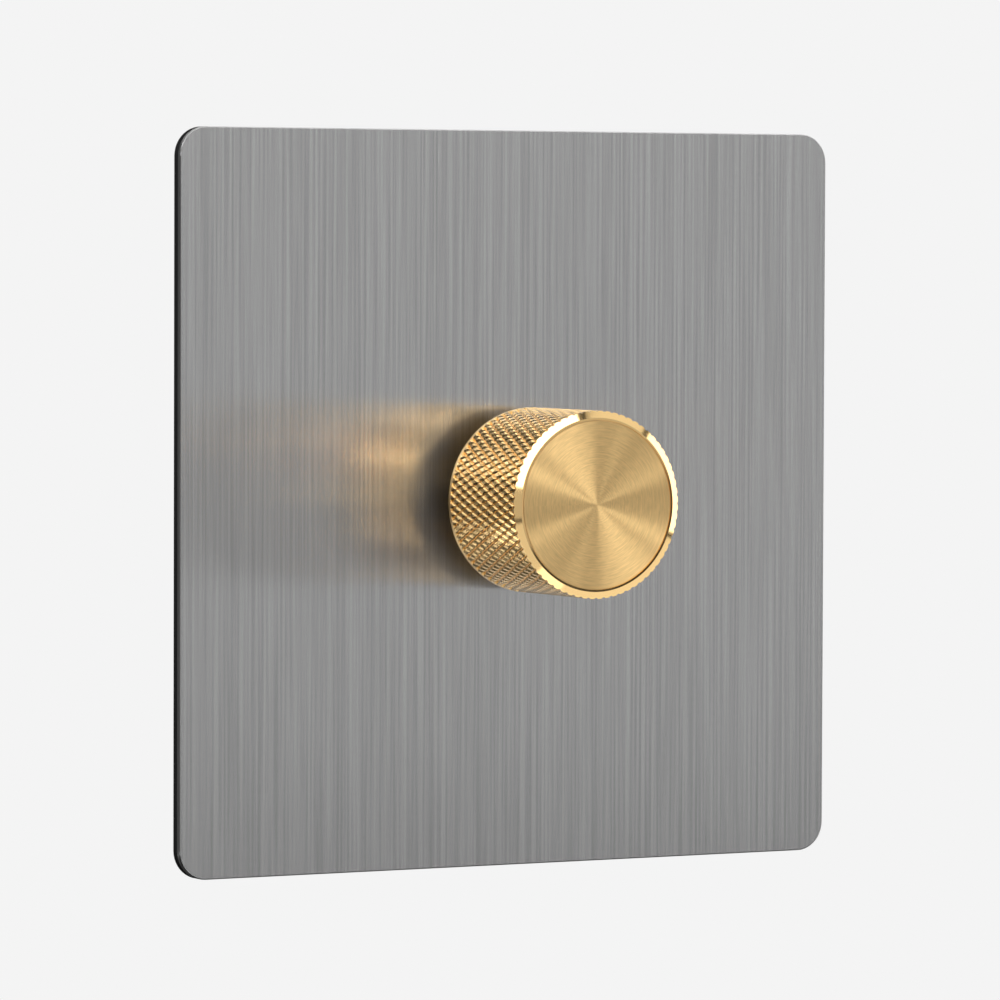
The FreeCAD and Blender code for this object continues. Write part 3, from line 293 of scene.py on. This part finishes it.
def brass_polished():
    """The front rim, turned with a polished tool: near mirror, with faint smears."""
    finish, tree, shader = new_finish("brass_polished", metallic=1.0, base_color=shade(BRASS, 1.08))
    smear = noise(tree, object_place(tree), 1500.0, 2.0)
    tree.links.new(remap(tree, smear, 0.05, 0.10), shader.inputs["Roughness"])
    return finish


def axis_distance(tree):
    """Distance from the knob's axis, in metres."""
    place = add(tree, "TexCoord").outputs["Object"]
    flat = add(tree, "VectorMath", {0: place, 1: (1.0, 0.0, 1.0)}, operation="MULTIPLY").outputs["Vector"]
    return add(tree, "VectorMath", {0: flat}, operation="LENGTH").outputs["Value"]


def brass_spun():
    """The face, turned in fine rings: reflections spread outwards from the centre as wedges."""
    finish, tree, shader = new_finish("brass_spun", metallic=1.0, anisotropic=1.0, anisotropic_rotation=0.25)
    radius = axis_distance(tree)
    rings = add(tree, "TexNoise", {"W": radius, "Scale": FACE_RINGS, "Detail": 2.0}, noise_dimensions="1D")
    place = add(tree, "SeparateXYZ", {0: object_place(tree)})
    turn = maths(tree, "ARCTAN2", place.outputs["Z"], place.outputs["X"])
    outwards = maths(tree, "MULTIPLY", radius, FACE_ARCS_OUT)
    around = maths(tree, "MULTIPLY", turn, FACE_ARCS_ROUND)
    polar = add(tree, "CombineXYZ", {"X": outwards, "Y": around}).outputs["Vector"]
    arcs = noise(tree, polar, 1.0, 2.0)
    lines = blend(tree, rings.outputs["Fac"], arcs, FACE_RING_SHARE)
    tint = ramp(tree, lines, (0.36, shade(BRASS, 0.88)), (0.50, BRASS), (0.66, shade(BRASS, 1.12)))
    tangent = add(tree, "Tangent", direction_type="RADIAL", axis="Y").outputs["Tangent"]
    tree.links.new(tint, shader.inputs["Base Color"])
    tree.links.new(remap(tree, lines, 0.29, 0.36), shader.inputs["Roughness"])
    tree.links.new(tangent, shader.inputs["Tangent"])
    tree.links.new(bump(tree, rings.outputs["Fac"], 0.003 * MM), shader.inputs["Normal"])
    return finish


def brass_turned():
    """The knob's back and bore, turned and left plain."""
    finish, tree, shader = new_finish("brass_turned", metallic=1.0)
    rings = noise(tree, object_place(tree, KNOB_BACK_GRAIN), 1.0, 3.0)
    tint = ramp(tree, rings, (0.3, shade(BRASS, 0.82)), (0.7, BRASS))
    tree.links.new(tint, shader.inputs["Base Color"])
    tree.links.new(remap(tree, rings, 0.26, 0.40), shader.inputs["Roughness"])
    return finish


# ---- Finishes of the rest -----------------------------------------------------------------
def plain_metal(name, base, roughness, grain=EVEN_GRAIN):
    """Metal with grain stretched along the way it was rolled, drawn or turned."""
    finish, tree, shader = new_finish(name, metallic=1.0)
    lines = noise(tree, object_place(tree, grain), 1.0, 3.0, 0.6)
    tint = ramp(tree, lines, (0.3, shade(base, 1.0 - METAL_TINT)), (0.7, shade(base, 1.0 + METAL_TINT)))
    tree.links.new(tint, shader.inputs["Base Color"])
    tree.links.new(uneven(tree, lines, roughness, METAL_ROUGHNESS_SPAN), shader.inputs["Roughness"])
    tree.links.new(bump(tree, lines, METAL_RELIEF), shader.inputs["Normal"])
    return finish


def zinc_plate(name, base, roughness):
    """Zinc plating with its cloudy, faintly blue and yellow patches."""
    finish, tree, shader = new_finish(name, metallic=1.0)
    cloud = noise(tree, object_place(tree), 130.0, 4.0, 0.6)
    speck = noise(tree, object_place(tree), 2400.0, 2.0)
    blue = colour(base[0] * 0.93, base[1] * 0.98, min(base[2] * 1.06, 1.0))
    straw = colour(base[0] * 1.05, base[1] * 1.02, base[2] * 0.90)
    tint = ramp(tree, cloud, (0.30, blue), (0.52, base), (0.72, straw))
    tree.links.new(tint, shader.inputs["Base Color"])
    tree.links.new(uneven(tree, speck, roughness, METAL_ROUGHNESS_SPAN), shader.inputs["Roughness"])
    tree.links.new(bump(tree, speck, 0.006 * MM), shader.inputs["Normal"])
    return finish


def moulding(name, base, roughness, grain=1800.0, relief=0.03):
    """Moulded plastic with a spark-eroded grain; its relief is in millimetres."""
    finish, tree, shader = new_finish(name)
    texture = noise(tree, object_place(tree), grain, 4.0, 0.55)
    drift = noise(tree, object_place(tree), 60.0, 2.0)
    tint = ramp(tree, drift, (0.3, shade(base, 0.90)), (0.7, shade(base, 1.12)))
    tree.links.new(tint, shader.inputs["Base Color"])
    tree.links.new(uneven(tree, texture, roughness, PLASTIC_ROUGHNESS_SPAN), shader.inputs["Roughness"])
    tree.links.new(bump(tree, texture, relief * MM), shader.inputs["Normal"])
    return finish


def board_green():
    """Solder mask over copper tracks."""
    base = colour(0.015, 0.13, 0.05)
    finish, tree, shader = new_finish("board_green", coat_weight=0.5, coat_roughness=0.15)
    inputs = {"Vector": object_place(tree), "Scale": 260.0, "Mortar Size": 0.06}
    inputs.update({"Color1": shade(base, 1.7), "Color2": shade(base, 1.4), "Mortar": base})
    tracks = add(tree, "TexBrick", inputs)
    tree.links.new(tracks.outputs["Color"], shader.inputs["Base Color"])
    tree.links.new(remap(tree, tracks.outputs["Fac"], 0.32, 0.45), shader.inputs["Roughness"])
    tree.links.new(bump(tree, tracks.outputs["Fac"], 0.03 * MM), shader.inputs["Normal"])
    return finish


def enamelled_wire():
    """Copper winding under clear reddish enamel."""
    finish, tree, shader = new_finish("enamelled_wire", metallic=1.0, coat_weight=0.8, coat_roughness=0.08)
    streak = noise(tree, object_place(tree), 700.0, 3.0)
    tint = ramp(tree, streak, (0.3, colour(0.52, 0.17, 0.05)), (0.7, colour(0.72, 0.27, 0.09)))
    tree.links.new(tint, shader.inputs["Base Color"])
    tree.links.new(remap(tree, streak, 0.22, 0.34), shader.inputs["Roughness"])
    return finish


FINISHES = {
    "brushed_steel": brushed_sheet,
    "black_plastic": gasket_black,
    "turned_brass": brass_turned,
    "circuit_board": board_green,
    "winding_wire": enamelled_wire,
    "zinc_steel": lambda: zinc_plate("zinc_yoke", colour(0.60, 0.612, 0.62), 0.42),
    "zinc_screw": lambda: zinc_plate("zinc_bright", colour(0.64, 0.64, 0.62), 0.26),
    "spring_steel": lambda: plain_metal("spring_rolled", colour(0.46, 0.46, 0.48), 0.28, UPRIGHT_GRAIN),
    "blackened_steel": lambda: plain_metal("steel_blackened", colour(0.045, 0.045, 0.05), 0.38),
    "shaft_steel": lambda: plain_metal("steel_ground", colour(0.56, 0.56, 0.55), 0.24, TURNED_GRAIN),
    "bush_alloy": lambda: plain_metal("alloy_machined", colour(0.60, 0.60, 0.605), 0.32, TURNED_GRAIN),
    "nut_nickel": lambda: plain_metal("nickel_plated", colour(0.66, 0.64, 0.60), 0.20),
    "tin_can": lambda: plain_metal("tin_drawn", colour(0.64, 0.64, 0.62), 0.30, INWARD_GRAIN),
    "tinned_copper": lambda: plain_metal("tinned_leg", colour(0.68, 0.67, 0.65), 0.30),
    "contact_copper": lambda: plain_metal("phosphor_bronze", colour(0.70, 0.38, 0.20), 0.30),
    "contact_silver": lambda: plain_metal("contact_silver_plate", colour(0.80, 0.79, 0.76), 0.24),
    "sink_aluminium": lambda: plain_metal("aluminium_rolled", colour(0.66, 0.67, 0.68), 0.34, UPRIGHT_GRAIN),
    "terminal_brass":
        lambda: plain_metal("terminal_drawn_brass", colour(0.72, 0.52, 0.26), 0.30, INWARD_GRAIN),
    "black_housing": lambda: moulding("housing_black", colour(0.018, 0.018, 0.019), 0.48),
    "terminal_plastic": lambda: moulding("terminal_grey", colour(0.30, 0.31, 0.32), 0.46),
    "white_plastic": lambda: moulding("acetal_white", colour(0.74, 0.73, 0.70), 0.38, relief=0.01),
    "blue_plastic": lambda: moulding("moulded_blue", colour(0.02, 0.09, 0.30), 0.40),
    "carbon_track": lambda: moulding("carbon_film", colour(0.02, 0.018, 0.016), 0.30, relief=0.004),
    "capacitor_film": lambda: moulding("film_case_yellow", colour(0.62, 0.40, 0.05), 0.32, relief=0.01),
    "capacitor_sleeve": lambda: moulding("sleeve_dark_blue", colour(0.02, 0.03, 0.10), 0.28, relief=0.006),
    "fuse_body": lambda: moulding("fuse_ceramic", colour(0.70, 0.66, 0.56), 0.55),
    "chip_body": lambda: moulding("chip_epoxy", colour(0.02, 0.02, 0.022), 0.60, 3500.0),
    "ferrite": lambda: moulding("ferrite_dark", colour(0.05, 0.05, 0.055), 0.50, 2500.0),
    "thermal_pad": lambda: moulding("pad_silicone", colour(0.30, 0.36, 0.42), 0.62),
    "transistor_body": lambda: moulding("transistor_epoxy", colour(0.015, 0.015, 0.017), 0.52, 3000.0),
}


def paint_nodes(nodes):
    """Gives each CAD node the finish of its material slot."""
    made = {}
    for node in nodes.values():
        slot = node.data.materials[0].name
        if slot not in made:
            made[slot] = FINISHES[slot]()
        node.data.materials[0] = made[slot]


# ---- Knob mesh ----------------------------------------------------------------------------
# Places of the finishes in the list of a mesh: four on the knob, a single one on a screw.
POLISHED, SPUN, TURNED_PLAIN, KNURLED = range(4)
ONLY_FINISH = 0


def saw(phase):
    """A triangle wave: 0 at whole phases, 1 halfway between."""
    part = phase % 1.0
    return 2.0 * min(part, 1.0 - part)


def knurl_height(column, row):
    """Height of the diamonds, 0 in the two families of grooves and 1 on their flat tops."""
    left = saw((column - row) / STEPS_PER_TOOTH)
    right = saw((column + row) / STEPS_PER_TOOTH)
    return min(left, right, KNURL_CREST) / KNURL_CREST


def knob_rows(back, front, radius):
    """The knob's rings from the bore's end round the back and side to the face.
    Each is its points and the finish of the band ahead of it."""
    ring_outer = front + RING_DEPTH
    ring_slope = RING_DEPTH / (radius - RING_INNER_R)
    pitch = 2.0 * math.pi * radius / KNURL_STARTS
    ideal_step = pitch / math.tan(math.radians(KNURL_HELIX)) / STEPS_PER_TOOTH
    knurl_back = back - BACK_BREAK - BACK_RIM
    count = round((knurl_back - ring_outer) / ideal_step)
    step = (knurl_back - ring_outer) / count

    def ring(ring_radius, place):
        return [(ring_radius, place)] * KNURL_COLUMNS

    rows = [
        (ring(BORE_R, BORE_END), TURNED_PLAIN),
        (ring(BORE_R, back - RECESS_DEPTH), TURNED_PLAIN),
        (ring(RECESS_R, back - RECESS_DEPTH), TURNED_PLAIN),
        (ring(RECESS_R, back), TURNED_PLAIN),
        (ring(radius - BACK_BREAK, back), TURNED_PLAIN),
        (ring(radius, back - BACK_BREAK), TURNED_PLAIN),
        (ring(radius, knurl_back + KNURL_START_SHARE * step), TURNED_PLAIN),
    ]
    for row in range(count + 1):
        points = []
        for column in range(KNURL_COLUMNS):
            point_radius = radius - KNURL_DEPTH * (1.0 - knurl_height(column, row))
            place = knurl_back - row * step
            if row == count:
                point_radius = max(point_radius, radius - EDGE_SCALLOP)
                place = ring_outer - (radius - point_radius) * ring_slope
            points.append((point_radius, place))
        rows.append((points, POLISHED if row == count else KNURLED))
    lip_place = ring_outer - (radius - RING_INNER_R - LIP_WIDTH) * ring_slope
    face = front + FACE_RECESS
    groove_wall = GROOVE_WALL_SHARE * GROOVE_WIDTH
    groove_floor_end = (1.0 - GROOVE_WALL_SHARE) * GROOVE_WIDTH
    rows += [
        (ring(RING_INNER_R + LIP_WIDTH, lip_place), POLISHED),
        (ring(RING_INNER_R, lip_place - LIP_DROP), POLISHED),
        (ring(RING_INNER_R - groove_wall, front + GROOVE_DEPTH), TURNED_PLAIN),
        (ring(RING_INNER_R - groove_floor_end, front + GROOVE_DEPTH), TURNED_PLAIN),
        (ring(RING_INNER_R - GROOVE_WIDTH, face), SPUN),
    ]
    return rows, face


def lathe_mesh(name, rows, first_centre, last_centre):
    """A closed mesh from rings of points, with a fan to a centre at each end."""
    columns = len(rows[0][0])
    vertices = [(0.0, first_centre, 0.0)]
    for points, _ in rows:
        for column, (radius, place) in enumerate(points):
            angle = 2.0 * math.pi * column / columns
            vertices.append((radius * math.sin(angle), place, radius * math.cos(angle)))
    vertices.append((0.0, last_centre, 0.0))
    last = len(vertices) - 1
    faces = []
    finishes = []
    for column in range(columns):
        ahead = (column + 1) % columns
        faces.append((0, 1 + ahead, 1 + column))
        finishes.append(rows[0][1])
        end = 1 + (len(rows) - 1) * columns
        faces.append((end + column, end + ahead, last))
        finishes.append(rows[-1][1])
    for row in range(len(rows) - 1):
        start = 1 + row * columns
        for column in range(columns):
            ahead = (column + 1) % columns
            quad = (start + column, start + ahead, start + columns + ahead, start + columns + column)
            faces += split_quad(quad, column, row, rows[row][1])
            finishes += [rows[row][1]] * (len(faces) - len(finishes))
    mesh = bpy.data.meshes.new(name)
    mesh.from_pydata(vertices, [], faces)
    mesh.polygons.foreach_set("material_index", finishes)
    mesh.update()
    return mesh


def split_quad(quad, column, row, finish):
    """One quad, or two triangles creased along a groove of the knurl."""
    if finish != KNURLED:
        return [quad]
    here, right, right_ahead, ahead = quad
    if (column + 1 + row - RINGS_BEFORE_KNURL) % STEPS_PER_TOOTH == 0:
        return [(here, right, ahead), (right, right_ahead, ahead)]
    return [(here, right, right_ahead), (here, right_ahead, ahead)]


def prism_cutter(outline, length, centre, direction):
    """A closed prism on a flat outline, for cutting, along a direction from its centre."""
    sides = len(outline)
    bottom = [(x, y, 0.0) for x, y in outline]
    top = [(x, y, length) for x, y in outline]
    faces = [tuple(reversed(range(sides))), tuple(range(sides, 2 * sides))]
    faces += [(i, (i + 1) % sides, sides + (i + 1) % sides, sides + i) for i in range(sides)]
    mesh = bpy.data.meshes.new("cutter")
    mesh.from_pydata(bottom + top, [], faces)
    turn = Vector((0.0, 0.0, 1.0)).rotation_difference(Vector(direction)).to_matrix().to_4x4()
    mesh.transform(Matrix.Translation(centre) @ turn)
    return mesh


def circle(radius, sides):
    angles = [2.0 * math.pi * i / sides for i in range(sides)]
    return [(radius * math.cos(angle), radius * math.sin(angle)) for angle in angles]


def cross(width, span):
    """The outline of a plus sign, anticlockwise, with the arms' width and the whole span."""
    w = 0.5 * width
    s = 0.5 * span
    return [(s, -w), (s, w), (w, w), (w, s), (-w, s), (-w, w),
            (-s, w), (-s, -w), (-w, -w), (-w, -s), (w, -s), (w, -w)]


def cut(piece, cutter_mesh):
    """Takes a closed mesh away from a piece, and leaves the result as its plain mesh."""
    cutter = bpy.data.objects.new("cutter", cutter_mesh)
    bpy.context.scene.collection.objects.link(cutter)
    modifier = piece.modifiers.new("cut", "BOOLEAN")
    modifier.object = cutter
    modifier.operation = "DIFFERENCE"
    modifier.solver = "EXACT"
    bpy.context.view_layer.update()
    result = bpy.data.meshes.new_from_object(piece.evaluated_get(bpy.context.evaluated_depsgraph_get()))
    piece.modifiers.clear()
    piece.data = result
    bpy.data.objects.remove(cutter)


def add_piece(name, mesh, body, slot, *replaced):
    """A mesh as a named piece that rides on a body and stands for CAD nodes."""
    piece = bpy.data.objects.new(name, mesh)
    bpy.context.scene.collection.objects.link(piece)
    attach(piece, body)
    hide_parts(*replaced)
    return piece


def make_knob():
    """The brass knob, with its knurl's flat-topped diamonds and the grub screw's hole in the mesh."""
    low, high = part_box("knob_body")
    radius = 0.5 * (high.z - low.z)
    rows, face = knob_rows(high.y, low.y, radius)
    mesh = lathe_mesh("knurled_knob", rows, BORE_END, face)
    for finish in (brass_polished, brass_spun, brass_turned, brass_knurl):
        mesh.materials.append(finish())
    knob = add_piece("knurled_knob", mesh, "knob", "turned_brass", "knob_body")
    angle = math.radians(GRUB_HOLE_ANGLE)
    out = Vector((math.cos(angle), 0.0, math.sin(angle)))
    outline = circle(GRUB_HOLE_R, GRUB_HOLE_SIDES)
    cutter = prism_cutter(outline, GRUB_CUTTER_REACH * radius, Vector((0.0, GRUB_HOLE_Y, 0.0)), out)
    for material in mesh.materials:
        cutter.materials.append(material)
    cutter.polygons.foreach_set("material_index", [TURNED_PLAIN] * len(cutter.polygons))
    cut(knob, cutter)


# ---- Wall-box screws and return spring ----------------------------------------------------
def screw_rows():
    """A countersunk screw's rings from its tip to the top of its head, with a right-hand helical thread."""
    def ring(radius, place):
        return [(radius, place)] * THREAD_COLUMNS, ONLY_FINISH

    rows = [ring(SCREW_R - SCREW_TIP_BREAK, SCREW_END)]
    thread_end = SCREW_END - SCREW_TIP_BREAK
    count = round((thread_end - SCREW_THREAD_START) / SCREW_PITCH * ROWS_PER_PITCH)
    for row in range(count + 1):
        place = thread_end + (SCREW_THREAD_START - thread_end) * row / count
        turns = [row / ROWS_PER_PITCH + column / THREAD_COLUMNS for column in range(THREAD_COLUMNS)]
        rows.append(([(SCREW_R - THREAD_DEPTH * saw(turn), place) for turn in turns], ONLY_FINISH))
    return rows + [
        ring(SCREW_NECK_R, SCREW_THREAD_START),
        ring(SCREW_NECK_R, SCREW_HEAD_TOP + SCREW_HEAD_R - SCREW_NECK_R),
        ring(SCREW_HEAD_R, SCREW_HEAD_TOP),
    ]


def make_screws(material):
    """The two wall-box screws, with real threads and cross recesses."""
    both = bmesh.new()
    places = [Vector((side * 0.5 * SCREW_SPACING, 0.0, 0.0)) for side in (-1.0, 1.0)]
    for place in places:
        one = lathe_mesh("one_screw", screw_rows(), SCREW_END, SCREW_HEAD_TOP)
        one.transform(Matrix.Translation(place))
        both.from_mesh(one)
    mesh = bpy.data.meshes.new("threaded_screws")
    both.to_mesh(mesh)
    both.free()
    mesh.materials.append(material)
    piece = add_piece("threaded_screws", mesh, "base", "zinc_screw", "box_screws")
    for place in places:
        start = place + Vector((0.0, SCREW_HEAD_TOP - CROSS_DEPTH, 0.0))
        cutter = prism_cutter(cross(CROSS_WIDTH, CROSS_SPAN), 2.0 * CROSS_DEPTH, start, (0.0, 1.0, 0.0))
        cutter.materials.append(material)
        cut(piece, cutter)


def make_spring(material):
    """The switch's return spring in round wire."""
    low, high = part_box("return_spring")
    coil_r = 0.5 * (high.x - low.x) - SPRING_WIRE_R
    length = high.y - low.y - 2.0 * SPRING_WIRE_R
    vertices = []
    for step in range(SPRING_STEPS + 1):
        angle = 2.0 * math.pi * SPRING_TURNS * step / SPRING_STEPS
        place = low.y + SPRING_WIRE_R + length * step / SPRING_STEPS
        for across, along in circle(SPRING_WIRE_R, SPRING_SIDES):
            radius = coil_r + across
            vertices.append((radius * math.cos(angle), place + along, radius * math.sin(angle)))
    last_ring = range(len(vertices) - SPRING_SIDES, len(vertices))
    faces = [tuple(range(SPRING_SIDES)), tuple(reversed(last_ring))]
    for step in range(SPRING_STEPS):
        start = step * SPRING_SIDES
        for side in range(SPRING_SIDES):
            here = start + side
            beside = start + (side + 1) % SPRING_SIDES
            faces.append((here, here + SPRING_SIDES, beside + SPRING_SIDES, beside))
    mesh = bpy.data.meshes.new("coiled_spring")
    mesh.from_pydata(vertices, [], faces)
    mesh.polygons.foreach_set("use_smooth", [True] * len(faces))
    mesh.materials.append(material)
    spring = add_piece("coiled_spring", mesh, "base", "spring_steel", "return_spring")
    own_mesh(spring)


# ---- Stage --------------------------------------------------------------------------------
def make_floor():
    """A pale floor under the object, round, with its edge out of the camera's sight."""
    ring = [(x, y, 0.0) for x, y in circle(FLOOR_R, FLOOR_SIDES)]
    mesh = bpy.data.meshes.new("floor")
    mesh.from_pydata(ring, [], [tuple(range(FLOOR_SIDES))])
    floor = bpy.data.objects.new("floor", mesh)
    floor.location = (0.0, 0.0, -FLOOR_DROP)
    bpy.context.scene.collection.objects.link(floor)
    finish, tree, shader = new_finish("floor_pale", roughness=0.9)
    drift = noise(tree, object_place(tree), 3.0)
    tint = ramp(tree, drift, (0.3, colour(0.80, 0.80, 0.80)), (0.7, colour(0.84, 0.84, 0.84)))
    tree.links.new(tint, shader.inputs["Base Color"])
    mesh.materials.append(finish)
    floor.visible_glossy = False


def make_surround():
    """A plain pale surround: brighter to the camera than the level it lights with."""
    world = bpy.data.worlds.new("surround")
    world.use_nodes = True
    tree = world.node_tree
    tree.nodes.clear()
    seen = add(tree, "Background", {"Color": colour(1.0, 1.0, 1.0), "Strength": BACKDROP_LEVEL})
    lit = add(tree, "Background", {"Color": colour(1.0, 1.0, 1.0), "Strength": SURROUND_LEVEL})
    rays = add(tree, "LightPath").outputs["Is Camera Ray"]
    mixed = add(tree, "MixShader", {0: rays, 1: lit.outputs[0], 2: seen.outputs[0]})
    output = add(tree, "OutputWorld")
    tree.links.new(mixed.outputs[0], output.inputs["Surface"])
    bpy.context.scene.world = world
    bpy.context.scene.view_settings.view_transform = "Standard"


def softbox(name, azimuth, elevation, width, height, distance, radiance, tilt):
    """A flat lamp that faces the object. Azimuth 0 is straight out from the plate, and grows to the right.
    A tilt turns the lamp about its line to the object."""
    lamp = bpy.data.lights.new(name, "AREA")
    lamp.shape = "RECTANGLE"
    lamp.size = width
    lamp.size_y = height
    lamp.energy = radiance * math.pi * width * height
    box = bpy.data.objects.new(name, lamp)
    around = math.radians(azimuth)
    up = math.radians(elevation)
    out = math.cos(up)
    place = Vector((math.sin(around) * out, -math.cos(around) * out, math.sin(up))) * distance
    facing = place.to_track_quat("Z", "Y").to_matrix()
    tilted = facing @ Matrix.Rotation(math.radians(tilt), 3, "Z")
    box.location = place
    box.rotation_euler = tilted.to_euler()
    box.visible_camera = False
    bpy.context.scene.collection.objects.link(box)


def make_camera():
    yaw, pitch, roll = (math.radians(a) for a in (CAMERA_YAW, CAMERA_PITCH, CAMERA_ROLL))
    ahead = Vector((math.sin(yaw) * math.cos(pitch), math.cos(yaw) * math.cos(pitch), -math.sin(pitch)))
    right = Vector((math.cos(yaw), -math.sin(yaw), 0.0))
    up = right.cross(ahead)
    rolled_right = right * math.cos(roll) + up * math.sin(roll)
    rolled_up = up * math.cos(roll) - right * math.sin(roll)
    lens = bpy.data.cameras.new("camera")
    lens.sensor_width = SENSOR_WIDTH
    lens.lens = CAMERA_LENS
    lens.clip_start = CAMERA_NEAR
    camera = bpy.data.objects.new("camera", lens)
    turn = Matrix((rolled_right, rolled_up, -ahead)).transposed().to_4x4()
    camera.matrix_world = Matrix.Translation(CAMERA_PLACE) @ turn
    bpy.context.scene.collection.objects.link(camera)
    bpy.context.scene.camera = camera


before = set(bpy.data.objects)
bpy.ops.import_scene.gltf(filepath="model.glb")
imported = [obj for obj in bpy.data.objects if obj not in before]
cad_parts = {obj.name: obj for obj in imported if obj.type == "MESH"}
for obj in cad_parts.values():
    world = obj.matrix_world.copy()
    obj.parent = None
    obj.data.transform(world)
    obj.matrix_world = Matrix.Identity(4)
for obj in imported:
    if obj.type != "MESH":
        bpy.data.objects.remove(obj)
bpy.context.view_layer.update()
make_camera()
make_floor()
make_surround()
for lamp in LAMPS:
    softbox(*lamp)
paint_nodes(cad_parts)
make_knob()
make_screws(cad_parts["box_screws"].data.materials[0])
make_spring(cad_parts["return_spring"].data.materials[0])
